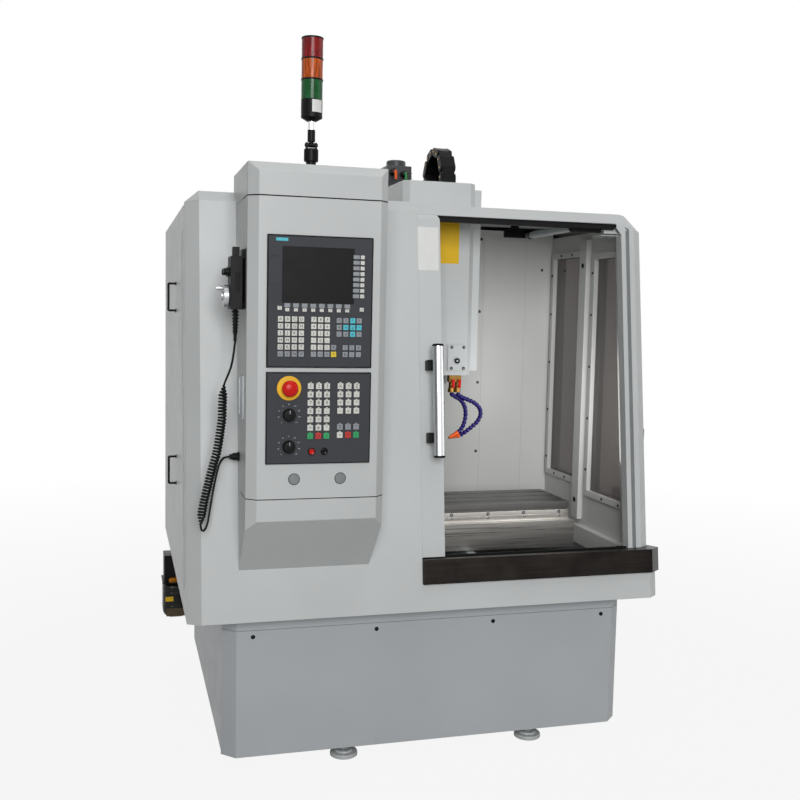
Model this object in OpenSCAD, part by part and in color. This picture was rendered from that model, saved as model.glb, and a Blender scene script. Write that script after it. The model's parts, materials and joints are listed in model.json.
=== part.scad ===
// Small vertical machining center with a sheet-metal enclosure.
// Units are millimetres. +Z is up, -Y is the operator side, the floor is at z = 0.

/* [Enclosure] */
// Overall width of the enclosure
body_w = 1616; // [1608:4:1660]
// How far the rear wall lies behind the centre line
back_y = 810; // [800:5:860]
// Height of the leveling feet below the stand
foot_h = 50; // [35:1:80]
// Depth of the groove between the two folds of the right post
post_groove = 12; // [6:1:20]

/* [Sliding door] */
// Diameter of the door's pull tube
pull_d = 36; // [28:1:42]
// Length of the door's pull tube
pull_l = 356; // [300:4:400]

/* [Table and saddle] */
// Length of the work table
table_l = 800; // [760:10:816]
// Depth of the work table
table_d = 260; // [240:4:280]
// Thickness of the work table
table_t = 45; // [40:1:50]
// Width of a T-slot's mouth
slot_w = 14; // [10:1:18]
// Table's place to the right of the spindle axis
table_x = 109; // [60:1:110]

/* [Spindle head] */
// Width of the head cover
head_w = 271; // [240:1:280]
// Height of the head cover
head_h = 688; // [640:4:700]
// Radius of the spindle nose
nose_r = 44; // [38:1:48]

/* [Coolant hoses] */
// Diameter of one ball of the segmented hose
bead_d = 17; // [14:1:18]

/* [Cable chain] */
// Width of the cable chain
chain_w = 60; // [44:2:80]
// Height of one chain link
chain_h = 34; // [28:1:36]

/* [Control console] */
// Depth of the console's side folds
fold = 27; // [20:1:32]
// Edge length of a key on the machine panel
key_b = 17; // [13:0.5:18]
// Edge length of a key on the upper panel
key_a = 15; // [12:0.5:16]
// Diameter of the emergency stop's mushroom head
stop_d = 47; // [38:1:50]
// Diameter of the rotary override knobs
knob_d = 38; // [30:1:42]

/* [Signal light] */
// Diameter of the lenses
lens_d = 64; // [50:1:68]
// Height of one lens
lens_h = 55; // [48:1:62]

/* [Handwheel pendant] */
// Diameter of the handwheel
wheel_d = 66; // [56:1:70]

/* [Hidden] */
$fn = 48;

xs = body_w / 2;
lift = foot_h - 30;
tilt = 7.407;
ct = cos(tilt);
st = sin(tilt);
tt = tan(tilt);
front_y = -627.5;
skirt_z = 489;
ax = 98;
roof_z = 1820;
// the cable chain's arch has nine links of this length
chain_r = 112;
chain_pitch = 2 * chain_r * sin(10);
// top of the column's bracket, one chain link below the head's
shelf_z = 1925 - chain_pitch;
// y of the sloping front at height z, v millimetres behind its outer face
function ys(v, z) = front_y + (z - skirt_z) * tt + v / ct;
// distance up the slope at height z and depth v
function ws(v, z) = (z - skirt_z + v * st) / ct;
// y and z of the point v behind the sloping front and w up along it
function sloped(v, w) = [front_y + v * ct + w * st, skirt_z - v * st + w * ct];

module lifted() {
    translate([0, 0, lift]) children();
}

module slope() {
    translate([0, front_y, skirt_z]) rotate([-tilt, 0, 0]) children();
}

// profile in the YZ plane drawn out along X
module along_x(x0, x1) {
    translate([x0, 0, 0]) rotate([90, 0, 90]) linear_extrude(height = x1 - x0) children();
}

// profile in the XZ plane drawn out along Y
module along_y(y0, y1) {
    translate([0, y1, 0]) rotate([90, 0, 0]) linear_extrude(height = y1 - y0) children();
}

module box(a, b) {
    translate(a) cube([b[0] - a[0], b[1] - a[1], b[2] - a[2]]);
}

module rod_y(x, y0, y1, z, r) {
    translate([x, y1, z]) rotate([90, 0, 0]) cylinder(h = y1 - y0, r = r);
}

module rod_x(x0, x1, y, z, r) {
    translate([x0, y, z]) rotate([0, 90, 0]) cylinder(h = x1 - x0, r = r);
}

module rod_z(x, y, z0, z1, r) {
    translate([x, y, z0]) cylinder(h = z1 - z0, r = r);
}

// Stand, cover and feet
module base_frame() {
    color("#B4B8BA") lifted() {
        difference() {
            union() {
                translate([0, 0, 30]) linear_extrude(height = 414)
                    polygon([[-650.757, -560], [650.757, -560], [692, -518.757], [692, 658], [-692, 658],
                        [-692, -518.757]]);
                translate([0, 0, 442.5]) linear_extrude(height = 46.5)
                    polygon([[-652, -563], [652, -563], [695, -520], [695, 658], [-695, 658], [-695, -520]]);
            }
            box([-640, -548, 36], [640, 646, 482]);
            box([-520, -400, 0], [520, 460, 40]);
        }
    }
}

module base_cover() {
    color("#B4B8BA") lifted() translate([0, 0, 30]) linear_extrude(height = 411.5)
        polygon([[-695, -520], [-652, -563], [652, -563], [695, -520], [692.879, -517.879],
            [650.757, -560], [-650.757, -560], [-692.879, -517.879]]);
}

module cover_screws() {
    color("#202224") lifted() for (x = [-600, -197, 209, 610]) {
        rod_y(x, -567, -563, 422, 7);
    }
}

module feet() {
    color("#3A3C3E") for (x = [ax - 384, ax + 276], y = [-500, 560]) {
        rod_z(x, y, 0, 14, 46);
        rod_z(x, y, 14, 20, 30);
        rod_z(x, y, 20, foot_h, 12);
    }
    color("#3A3C3E") for (x = [-600, 600], y = [60]) {
        rod_z(x, y, 0, 14, 46);
        rod_z(x, y, 14, foot_h, 12);
    }
}

// Sheet-metal enclosure
module under_plate() {
    color("#A7ABAD") lifted() difference() {
        translate([0, 0, 489]) linear_extrude(height = 4) polygon([[-xs + 30, -604], [-xs + 48, -622],
            [xs - 51, -622], [xs - 51, back_y - 4], [-xs + 30, back_y - 4]]);
        box([ax - 168, -416, 480], [ax + 168, 576, 500]);
        box([-64, -630, 480], [-57, -608, 500]);
    }
}

module front_panel() {
    color("#C0C4C4") lifted() slope() {
        linear_extrude(height = 1310)
            polygon([[-xs, 43], [-xs + 43, 0], [-59, 0], [-59, 16], [-62, 16], [-62, 4], [-xs + 44.657, 4],
                [-xs + 2.828, 45.828]]);
        linear_extrude(height = 88)
            polygon([[-62, 0], [xs - 43, 0], [xs, 43], [xs - 2.828, 45.828], [xs - 44.657, 4], [-62, 4]]);
        along_x(-xs + 43, -59)
            polygon([[0, 1310], [35, 1347.3], [35, 1342], [4, 1309], [0, 1309]]);
        polyhedron(
            points = [[-xs + 43, 0, 1309], [-xs, 43, 1309], [-xs + 43, 35, 1347.3],
                [-xs + 46, 4, 1309], [-xs + 3, 46, 1309], [-xs + 46, 35, 1342]],
            faces = [[0, 2, 1], [3, 4, 5], [0, 1, 4, 3], [1, 2, 5, 4], [2, 0, 3, 5]]);
    }
}

module sill_tray() {
    color("#2B2927") lifted() slope() {
        translate([0, 0, 88]) linear_extrude(height = 80)
            polygon([[-58, -12], [xs - 40, -12], [xs + 14, 42], [xs + 14, 131], [xs + 10.5, 131],
                [xs + 10.5, 43.4], [xs - 41.4, -8.5], [-54.5, -8.5], [-54.5, 3.5], [-58, 3.5]]);
        translate([0, 0, 164]) linear_extrude(height = 4)
            polygon([[-58, -12], [xs - 40, -12], [xs + 14, 42], [xs + 14, 131], [xs - 103, 131],
                [xs - 103, 62], [-58, 62]]);
        translate([0, 0, 88.5]) linear_extrude(height = 79)
            polygon([[-58, 58.5], [xs - 56, 58.5], [xs - 56, 62], [-58, 62]]);
    }
}

module door_header() {
    color("#C0C4C4") lifted() slope() along_x(-58.5, xs - 88)
        polygon([[52, 1312], [87, 1353.5], [87, 1347.5], [55.5, 1310], [52, 1310]]);
}

module right_post() {
    color("#C0C4C4") lifted() slope() translate([xs, 0, 0]) {
        translate([0, 0, 168]) linear_extrude(height = 1124)
            polygon([[-98, 50], [-81, 50], [-81, 52 + post_groove], [-66, 52 + post_groove], [-66, 52],
                [-46, 52], [-2, 96], [-2, 131], [-50, 131], [-50, 104], [-70, 90], [-98, 90]]);
        translate([0, 0, 1290]) linear_extrude(height = 22)
            polygon([[-98, 50], [-81, 50], [-81, 52 + post_groove], [-60, 52 + post_groove], [-60, 90],
                [-98, 90]]);
    }
}

// mitred corner between the header, the post and the roof's side bevel
module corner_cap() {
    color("#C0C4C4") lifted() slope() hull() {
        along_x(xs - 88, xs - 86) polygon([[52, 1311], [87, 1353.5], [87, 1347.5], [55.5, 1308]]);
        translate([xs, 0, 1291]) linear_extrude(height = 2)
            polygon([[-66, 52], [-46, 52], [-2, 96], [-2, 131], [-50, 131]]);
        along_y(129, 131) polygon([[xs - 43, 1359], [xs - 43, 1348], [xs - 4, 1316], [xs - 1, 1316]]);
    }
}

// corner plates behind the post: a fillet, a closing plate and the lamp's shelf
module corner_plates() {
    color("#BCC0C1") lifted() {
        slope() {
            along_y(50, 54) polygon([[xs - 97, 1311], [xs - 116, 1311], [xs - 116, 1296], [xs - 98, 1272],
                [xs - 97, 1272]]);
            along_x(xs - 153, xs - 97) polygon([[75, 1280], [79, 1280], [79, 1340], [75, 1336]]);
        }
        translate([0, 0, 1741]) linear_extrude(height = 3)
            polygon([[xs - 163, -384], [xs - 82, -384], [xs - 53, -345], [xs - 53, -290], [xs - 140, -290],
                [xs - 163, -315]]);
    }
}

module side_profile(v, top) {
    polygon([[ys(v, skirt_z), skirt_z], [back_y, skirt_z], [back_y, top], [ys(v, top), top]]);
}

module left_wall() {
    color("#B9BDBE") lifted() {
        along_x(-xs, -xs + 30) side_profile(46.3, 1777);
        along_y(-412, back_y - 4)
            polygon([[-xs, 1777], [-xs + 43, roof_z], [-xs + 43, roof_z - 5], [-xs + 5, 1777]]);
    }
}

module left_access() {
    color("#C3C7C8") lifted() along_x(-xs - 3, -xs)
        polygon([[-470, 560], [560, 560], [560, 1700], [-330, 1700], [-330, 1600], [-470, 640]]);
}

module bow_handle(x, y, z0, z1, s) {
    rod_z(x + s * 26, y, z0, z1, 4);
    for (z = [z0 + 4, z1 - 4]) {
        rod_x(min(x, x + s * 30), max(x, x + s * 30), y, z, 4);
    }
}

module left_handles() {
    color("#2A2C2E") lifted() {
        bow_handle(-xs - 3, -43, 1440, 1542, -1);
        bow_handle(-xs - 3, -83, 835, 937, -1);
    }
}

module right_wall() {
    color("#B9BDBE") lifted() {
        difference() {
            along_x(xs - 51, xs) polygon([[ys(46.3, skirt_z), skirt_z], [back_y, skirt_z], [back_y, 1777],
                [ys(131.5, 1777), 1777], [ys(131.5, 558), 558], [ys(46.3, 558), 558]]);
            along_x(xs - 60, xs + 10)
                polygon([[ys(168, 779), 779], [-140, 779], [-140, 1674], [ys(168, 1674), 1674]]);
            box([xs - 60, -22, 808], [xs + 10, 234, 1690]);
        }
        box([xs - 71, -89, 655], [xs - 50, -31, 1750]);
        box([xs - 78, ys(150, 600), 564], [xs - 50, -31, 634]);
        along_y(-322, back_y)
            polygon([[xs, 1777], [xs - 43, roof_z], [xs - 43, roof_z - 5], [xs - 5, 1777]]);
    }
}

module side_windows() {
    color("#8FA3A6", 0.35) lifted() {
        along_x(xs - 44, xs - 38) polygon([[ys(168.3, 779.5), 779.5], [-140.3, 779.5], [-140.3, 1673.5],
            [ys(168.3, 1673.5), 1673.5]]);
        box([xs - 44, -21.7, 808.3], [xs - 38, 233.7, 1689.7]);
    }
}

module window_frames() {
    color("#AEB2B4") lifted() {
        difference() {
            along_x(xs - 61, xs - 51)
                polygon([[ys(146, 757), 757], [-118, 757], [-118, 1696], [ys(146, 1696), 1696]]);
            along_x(xs - 70, xs - 40)
                polygon([[ys(170, 781), 781], [-142, 781], [-142, 1672], [ys(170, 1672), 1672]]);
        }
        difference() {
            box([xs - 61, -30, 788], [xs - 51, 256, 1710]);
            box([xs - 70, -20, 810], [xs - 40, 232, 1688]);
        }
    }
}

module window_screws() {
    color("#2A2C2E") lifted() {
        for (z = [860, 1060, 1260, 1460, 1620]) {
            rod_x(xs - 64, xs - 61, -128, z, 5);
            rod_x(xs - 64, xs - 61, 244, z, 5);
        }
        for (y = [-400, -270]) {
            rod_x(xs - 64, xs - 61, y, 768, 5);
        }
        for (y = [60, 160], z = [799, 1699]) {
            rod_x(xs - 64, xs - 61, y, z, 5);
        }
        for (z = [730, 1650]) {
            rod_x(xs - 74, xs - 71, -60, z, 10);
        }
    }
}

module right_handle() {
    color("#2A2C2E") lifted() {
        box([xs, ys(160, 1000) - 9, 932], [xs + 3, ys(160, 1000) + 9, 1059]);
        bow_handle(xs + 3, ys(160, 1000), 938, 1053, 1);
    }
}

module roof() {
    color("#C3C7C8") lifted() difference() {
        translate([0, 0, roof_z - 4]) linear_extrude(height = 4)
            polygon([[-xs + 43, -411], [-58.5, -411], [-58.5, -366], [xs - 88, -366], [xs - 44.8, -322.6],
                [xs - 43, -322.6], [xs - 43, back_y], [-xs + 43, back_y]]);
        box([ax - 160, -240, roof_z - 10], [ax + 176, 590, roof_z + 10]);
    }
}

module rear_wall() {
    color("#B9BDBE") lifted() difference() {
        box([-xs + 30, back_y - 4, 493], [xs - 51, back_y, roof_z - 4]);
        for (z = [1640, 1660, 1680, 1700, 1720]) {
            box([-200, back_y - 10, z], [200, back_y + 10, z + 8]);
        }
    }
}

module cabinet_door() {
    color("#C3C7C8") lifted() {
        difference() {
            box([-400, back_y + 1, 640], [400, back_y + 4, 1600]);
            for (z = [700, 720, 740, 760, 780, 800]) {
                box([-150, back_y - 5, z], [150, back_y + 10, z + 8]);
            }
        }
        for (z = [760, 1440]) {
            difference() {
                union() {
                    rod_z(-410, back_y + 5, z, z + 50, 5);
                    box([-408, back_y + 1.5, z], [-396, back_y + 4, z + 50]);
                }
                rod_z(-410, back_y + 5, z - 1, z + 51, 2.56);
            }
        }
        box([340, back_y + 4, 1080], [362, back_y + 9, 1180]);
    }
}

module cabinet_pins() {
    color("#6C7072") lifted() for (z = [760, 1440]) {
        rod_z(-410, back_y + 5, z - 14, z + 64, 2.5);
        for (h = [z - 14, z + 51]) {
            difference() {
                union() {
                    rod_z(-410, back_y + 5, h, h + 13, 5);
                    box([-424, back_y, h], [-410, back_y + 4, h + 13]);
                }
                rod_z(-410, back_y + 5, h - 1, h + 14, 2.5);
            }
        }
    }
}

module floor_pan() {
    color("#4A4D4F") lifted() difference() {
        box([-xs + 30, -535, 560], [xs - 51, 276, 564]);
        box([ax - 168, -416, 540], [ax + 168, 600, 580]);
    }
}

module back_liner() {
    color("#BCC0C1") lifted() {
        for (x = [[-xs + 30, -420], [-419.7, -60], [256, 451], [451.3, 638], [638.3, xs - 51]]) {
            box([x[0], 272, 564], [x[1], 276, 1800]);
        }
        box([-60, 272, 1300], [-53, 276, 1800]);
        for (x = [[-62, -60], [256, 258]]) {
            box([x[0], 275, 564], [x[1], 300, 1800]);
        }
    }
}

module liner_screws() {
    color("#8A8E90") lifted() {
        for (z = [882, 1171, 1465, 1762]) {
            rod_y(437, 269, 272, z, 6);
        }
        rod_y(711, 269, 272, 1644, 6);
    }
}

module door_track() {
    color("#1D1E20") lifted() slope() {
        along_x(-xs + 40, xs - 120)
            polygon([[56, 1292], [74, 1292], [74, 1310], [53, 1310], [53, 1308], [56, 1308]]);
        along_x(-52, xs - 104) polygon([[51, 168.3], [57, 168.3], [57, 175], [51, 175]]);
    }
}

module door_leaf() {
    color("#C0C4C4") lifted() slope() {
        difference() {
            along_x(-754, 26) polygon([[22, 172], [22, 1283], [34, 1306], [46, 1306], [46, 172]]);
            along_x(-740, 12) polygon([[26, 190], [26, 1281], [42, 1281], [42, 190]]);
            along_x(-600, -110) polygon([[0, 560], [0, 1180], [60, 1180], [60, 560]]);
            along_y(0, 60) polygon([[12, 1320], [40, 1320], [40, 1268]]);
        }
        for (x = [-700, -60]) {
            translate([x, 46, 1262]) cube([60, 9, 42]);
            translate([x, 46, 1292]) cube([60, 9.7, 12]);
        }
        translate([-40, 46, 170]) cube([50, 4.7, 18]);
    }
}

module door_glass() {
    color("#8FA3A6", 0.35) lifted() slope() {
        along_x(-620, -90) polygon([[26.3, 540], [26.3, 1200], [32, 1200], [32, 540]]);
    }
}

module door_pull() {
    color("#C9CDD0") lifted() slope() {
        rod_z(-5, -30, 683 - pull_l / 2, 683 + pull_l / 2, pull_d / 2);
        for (w = [683 - pull_l / 2 + 58, 683 + pull_l / 2 - 60]) {
            translate([-13, -30, w - 17]) cube([16, 52, 34]);
        }
    }
}

module pull_caps() {
    color("#17181A") lifted() slope() for (w = [683 - pull_l / 2 - 8, 683 + pull_l / 2]) {
        rod_z(-5, -30, w, w + 8, pull_d / 2 + 1);
    }
}

// the lamp hangs under the roof and points from the front to the rear
module work_lamp() {
    color("#B7BBBD") lifted() rod_y(xs - 248, -354, 72, 1768, 13);
}

module lamp_brackets() {
    color("#232527") lifted() {
        box([xs - 270, -380, 1752], [xs - 158, -352, 1786]);
        box([xs - 250, -364, 1784], [xs - 200, -352, roof_z - 4]);
        rod_x(xs - 160, xs - 146, -366, 1764, 9);
        box([xs - 346, 70, 1758], [xs - 232, 92, 1792]);
        box([xs - 318, 72, 1790], [xs - 288, 90, roof_z - 4]);
    }
}

// Bed, column and the moving slides
module bed() {
    color("#8D9293") lifted() {
        difference() {
            box([ax - 158, -406, 489], [ax + 158, 566, 585]);
            box([ax - 60, -420, 540], [ax + 60, 250, 590]);
        }
        for (x = [ax - 130, ax + 100]) {
            box([x, -396, 585], [x + 30, 250, 600]);
        }
    }
}

module column() {
    color("#8D9293") lifted() difference() {
        union() {
            box([ax - 150, 320, 585], [ax + 150, 566, 1880]);
            box([ax - 158, 290, 585], [ax + 158, 566, 760]);
            box([190, 300, 1872], [266, 352, shelf_z]);
        }
        box([ax - 70, 300, 820], [ax + 70, 540, 1860]);
        for (z = [820, 1180, 1540]) {
            box([ax - 170, 380, z], [ax + 170, 500, z + 280]);
        }
    }
}

module column_rails() {
    color("#9DA1A3") lifted() for (x = [ax - 130, ax + 98]) {
        box([x, 296, 800], [x + 32, 320, 1870]);
    }
}

module column_motor() {
    color("#2A2C2E") lifted() {
        box([ax - 62, 332, 1880], [ax + 62, 456, 1930]);
        box([ax - 55, 339, 1930], [ax + 55, 449, 2050]);
        rod_z(ax, 394, 2050, 2076, 40);
    }
}

module motor_plugs() {
    color("#7E3B2E") lifted() {
        rod_y(ax - 30, 300, 339, 2020, 14);
        rod_y(ax + 14, 306, 339, 2014, 12);
    }
}

module saddle() {
    color("#8D9293") lifted() difference() {
        box([ax - 168, -250, 588], [ax + 168, -56, 700]);
        for (x = [ax - 130, ax + 100]) {
            box([x - 0.3, -260, 580], [x + 30.3, -50, 600]);
        }
        box([ax - 70, -260, 580], [ax + 70, -50, 660]);
    }
}

module saddle_ways() {
    color("#A9ADAF") lifted() for (y = [-244, -94]) {
        box([ax - 168, y, 700], [ax + 168, y + 32, 768 - table_t]);
    }
}

module table() {
    color("#85817C") lifted() difference() {
        box([ax + table_x - table_l / 2, -153 - table_d / 2, 768 - table_t],
            [ax + table_x + table_l / 2, -153 + table_d / 2, 768]);
        for (y = [-153 - 75, -153, -153 + 75]) {
            along_x(-600, 900) polygon([[y - slot_w / 2, 800], [y - slot_w / 2, 754],
                [y - slot_w / 2 - 5, 754], [y - slot_w / 2 - 5, 745], [y + slot_w / 2 + 5, 745],
                [y + slot_w / 2 + 5, 754],
                [y + slot_w / 2, 754], [y + slot_w / 2, 800]]);
        }
        along_x(-600, 900) polygon([[-153 - table_d / 2 - 1, 747], [-153 - table_d / 2 + 7, 747],
            [-153 - table_d / 2 + 7, 738], [-153 - table_d / 2 - 1, 738]]);
    }
}

module table_guard() {
    color("#B3B0AB") lifted() {
        difference() {
            box([ax + table_x - 412, -153 - table_d / 2 - 26, 604],
                [ax + table_x + 412, -153 + table_d / 2 + 26, 703]);
            box([ax + table_x - 409, -153 - table_d / 2 - 23, 600],
                [ax + table_x + 409, -153 + table_d / 2 + 23, 701]);
            box([ax + table_x - 379, -153 - 110, 690], [ax + table_x + 379, -153 + 110, 710]);
        }
        difference() {
            box([ax + table_x - table_l / 2, -153 - table_d / 2, 703],
                [ax + table_x + table_l / 2, -153 + table_d / 2, 768 - table_t]);
            box([ax + table_x - 379, -153 - 110, 690], [ax + table_x + 379, -153 + 110, 730]);
            along_x(-600, 900) polygon([[-153 - table_d / 2 - 1, 706], [-153 - table_d / 2 + 4, 706],
                [-153 - table_d / 2 + 4, 709], [-153 - table_d / 2 - 1, 709]]);
        }
    }
}

module guard_screws() {
    color("#3A3C3E") lifted() for (x = [-340, -200, -60, 80, 220, 360]) {
        rod_y(ax + table_x + x, -153 - table_d / 2 - 2, -153 - table_d / 2, 716, 5);
        rod_y(ax + table_x + x, -153 - table_d / 2 - 2, -153 - table_d / 2, 731, 5);
    }
}

module head_cover() {
    color("#C3C7C8") lifted() {
        box([190, 84, 1918], [266, 130, 1925]);
        box([ax + head_w / 2 - 1, -190, 1246], [ax + head_w / 2 + 29, 190, 1900]);
    }
    color("#C3C7C8") lifted() difference() {
        translate([ax, 0, 1919 - head_h]) linear_extrude(height = head_h)
            polygon([[-head_w / 2, 210], [-head_w / 2, -198], [-head_w / 2 + 22, -220],
                [head_w / 2 - 22, -220], [head_w / 2, -198], [head_w / 2, 210]]);
        translate([ax, 0, 1919 - head_h - 1]) linear_extrude(height = head_h - 2)
            polygon([[-head_w / 2 + 3, 220], [-head_w / 2 + 3, -196.7], [-head_w / 2 + 23.3, -217],
                [head_w / 2 - 23.3, -217], [head_w / 2 - 3, -196.7], [head_w / 2 - 3, 220]]);
    }
}

module head_casting() {
    color("#A4A9AB") lifted() {
        difference() {
            union() {
                box([ax - 100, -190, 1245], [ax + 100, 262, 1480]);
                box([ax - 70, -170, 1480], [ax + 70, 0, 1860]);
            }
            rod_z(ax, -90, 1240, 1420, 55.5);
        }
        box([ax - 146, 210, 1225], [ax + 146, 295.7, 1760]);
    }
}

module air_plate() {
    color("#B9BDBE") lifted() {
        difference() {
            box([138, -225, 1249], [207, -220, 1341]);
            rod_y(173, -226, -223, 1284, 13);
        }
        rod_y(173, -229, -223, 1284, 9);
        for (x = [152, 198], z = [1257, 1333]) {
            rod_y(x, -228, -225, z, 4.5);
        }
    }
}

module spindle_cartridge() {
    color("#8F9496") lifted() {
        difference() {
            union() {
                rod_z(ax, -90, 1195, 1245, 78);
                rod_z(ax, -90, 1245, 1400, 55.4);
                rod_z(ax, -90, 1180, 1195, 64);
            }
            rod_z(ax, -90, 1170, 1380, 36.05);
        }
    }
}

module spindle_nose() {
    color("#C2C6C8") lifted() difference() {
        union() {
            rod_z(ax, -90, 1150, 1179.5, nose_r);
            rod_z(ax, -90, 1179, 1370, 36);
            for (a = [0, 180]) {
                translate([ax, -90, 1142]) rotate([0, 0, a]) translate([24, -8, 0]) cube([12, 16, 10]);
            }
        }
        translate([ax, -90, 1149]) cylinder(h = 66, r1 = 22.3, r2 = 13);
        rod_z(ax, -90, 1200, 1380, 10);
    }
}

module coolant_block() {
    color("#B8863C") lifted() {
        box([152, -206, 1205], [198, -176, 1245]);
        for (x = [164, 188]) {
            rod_z(x, -191, 1184, 1205, 9);
            rod_z(x, -191, 1159.3 + bead_d / 2, 1184, 11.6);
        }
    }
}

module valve_lever(x) {
    translate([x, -191, 1190]) {
        rod_y(0, -24, -9.4, 0, 4);
        translate([-5, -28, -4]) cube([10, 4, 30]);
    }
}

module valve_left() {
    color("#B5271E") lifted() valve_lever(164);
}

module valve_right() {
    color("#B5271E") lifted() valve_lever(188);
}

// route points of the two hoses, taken along the photographed curves
hose_a = [[164, -191, 1162], [185, -182, 1150], [208, -174, 1139], [226, -168, 1116], [234, -162, 1090],
    [233, -158, 1060], [226, -154, 1034], [211, -150, 1014]];
hose_b = [[188, -191, 1162], [213, -182, 1146], [240, -176, 1137], [268, -172, 1124], [288, -168, 1104],
    [292, -166, 1080], [282, -162, 1056], [262, -158, 1036], [240, -154, 1018], [222, -138, 1002]];

function along(p, t) = let (n = len(p) - 1, u = min(t * n, n - 0.0001), i = floor(u), f = u - i)
    p[i] * (1 - f) + p[i + 1] * f;

module beads(p, count) {
    for (i = [0:count - 1]) {
        translate(along(p, (i + 0.5) / count)) sphere(d = bead_d, $fn = 14);
    }
}

module coolant_hoses() {
    color("#2E2466") lifted() {
        beads(hose_a, 14);
        beads(hose_b, 18);
    }
}

module coolant_nozzles() {
    color("#D9481F") lifted() {
        translate([211, -150, 1014]) rotate([0, 0, 14]) rotate([0, -114, 0])
            translate([0, 0, bead_d / 2 - 4.8]) cylinder(h = 40, r1 = 9, r2 = 5);
        translate([222, -138, 1002]) rotate([0, 0, 6]) rotate([0, -100, 0])
            translate([0, 0, bead_d / 2 - 4.3]) cylinder(h = 42, r1 = 9, r2 = 5);
    }
}

// cable chain: an arch of separate links from the head's top back to the column
chain_left = 1;
chain_bend = 10;
chain_links = 12;
chain_z = 1924.3 + chain_left * chain_pitch + chain_h / 2;

// place of pin k in the chain's plane, from the head's end over the arch and down to the column
function pin(k) = k < chain_left ? [-chain_r, (k - chain_left) * chain_pitch]
    : k > chain_bend ? [chain_r, (chain_bend - k) * chain_pitch]
    : chain_r * [-cos(20 * (k - chain_left)), sin(20 * (k - chain_left))];

module link_plate(y) {
    difference() {
        union() {
            box([0, y, 1.5 - chain_h / 2], [chain_pitch, y + 5, chain_h / 2 - 1.5]);
            rod_y(0, y, y + 5, 0, chain_h / 2 - 1);
            rod_y(chain_pitch, y, y + 5, 0, chain_h / 2 - 1);
        }
        rod_y(0, y - 1, y + 6, 0, 3.5);
        rod_y(chain_pitch, y - 1, y + 6, 0, 3.5);
    }
}

module chain_link(inset) {
    half = chain_w / 2 - inset;
    link_plate(-half);
    link_plate(half - 5);
    for (z = [1.5 - chain_h / 2, chain_h / 2 - 4.5]) {
        box([chain_pitch / 2 - 5, 4.9 - half, z], [chain_pitch / 2 + 5, half - 4.9, z + 3]);
    }
}

module cable_chain() {
    color("#1B1C1E") lifted() translate([228, 219, chain_z]) rotate([0, 0, 90]) {
        for (k = [0:chain_links - 1]) {
            a = pin(k);
            b = pin(k + 1);
            translate([a[0], 0, a[1]]) rotate([0, -atan2(b[1] - a[1], b[0] - a[0]), 0])
                chain_link(k % 2 == 0 ? 0 : 5.3);
        }
    }
}

// Control console
cxl = -xs + 156;
cxr = -xs + 570;

module console_block(z0, z1) {
    intersection() {
        along_x(cxl, cxr) polygon([[-780, 836], [-780, 1847], [-753, 1874], [-400, 1874], [-400, roof_z + 1],
            [sloped(35, 1347.3)[0], roof_z + 1], sloped(0, 1310) + [0, 0.2], [ys(0, 650), 650]]);
        translate([0, 0, z0]) linear_extrude(height = z1 - z0)
            polygon([[cxl, -780 + fold], [cxl + 30, -780], [cxr - 26, -780], [cxr, -780 + fold],
                [cxr, 0], [cxl, 0]]);
    }
}

module console_box() {
    color("#BFC3C4") lifted() difference() {
        console_block(901.5, 1777);
        box([pl, -781, 1006], [pl + 310, -776, 1274]);
        box([pl, -781, 1288], [pl + 310, -776, 1668]);
        box([pl + 8, -777, 1014], [pl + 302, -750, 1266]);
    }
}

module console_cap() {
    color("#C3C7C8") lifted() console_block(1778, 1880);
}

module console_foot() {
    color("#AEB2B4") lifted() console_block(640, 900.5);
}

// the upper operator panel: 310 mm wide and 380 mm high
pl = cxl + 54;
pt = 1668;

module panel_upper() {
    color("#3E4046") lifted() difference() {
        union() {
            box([pl, -786, 1288], [pl + 310, -780, pt]);
            box([pl + 0.5, -780, 1288.5], [pl + 309.5, -776, pt - 0.5]);
        }
        box([pl + 43, -787, pt - 194], [pl + 254, -784.5, pt - 33]);
        box([pl + 12, -787, pt - 120], [pl + 30, -785, pt - 60]);
    }
}

module panel_screen() {
    color("#14151A") lifted() {
        difference() {
            box([pl + 43, -785.5, pt - 194], [pl + 254, -784.5, pt - 33]);
            box([pl + 47, -786, pt - 190], [pl + 250, -785.2, pt - 37]);
        }
    }
}

// one rounded key cap at x, z from the panel's upper left corner
module key(x, z, w, h, y) {
    translate([pl + x - w / 2, y - 3, pt - z - h / 2]) cube([w, 3, h]);
}

module keys_upper() {
    color("#D8D8D2") lifted() {
        for (i = [0:7]) {
            key(268, 57 + i * 16.2, 26, 11, -786);
            key(58 + i * 25.2, 206, 16, 9, -786);
        }
        key(36, 207, key_a, 10, -786);
        key(278, 207, key_a, 10, -786);
        for (c = [0:3], r = [0:5]) {
            key(39 + c * 20.3, 240.3 + r * 20.1, key_a, key_a, -786);
        }
        for (c = [0:2], r = [0:5]) {
            key(136 + c * 19.9, 240.3 + r * 20.1, key_a, key_a, -786);
        }
        key(195.5, 320.7, key_a, key_a, -786);
        for (p = [[211, 242], [251.5, 242], [270.8, 242], [211, 262], [211, 281.5], [231, 281.5],
            [270.8, 281.5]]) {
            key(p[0], p[1], key_a, key_a, -786);
        }
        for (c = [0:2], r = [0:1]) {
            key(230 + c * 20, 321 + r * 20, key_a, key_a, -786);
        }
    }
}

module keys_accent() {
    color("#3FA9BC") lifted() {
        for (p = [[231, 242], [231, 262], [251.5, 262], [270.8, 262], [251.5, 281.5], [195.5, 340.8]]) {
            key(p[0], p[1], key_a, key_a, -786);
        }
    }
}

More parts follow.
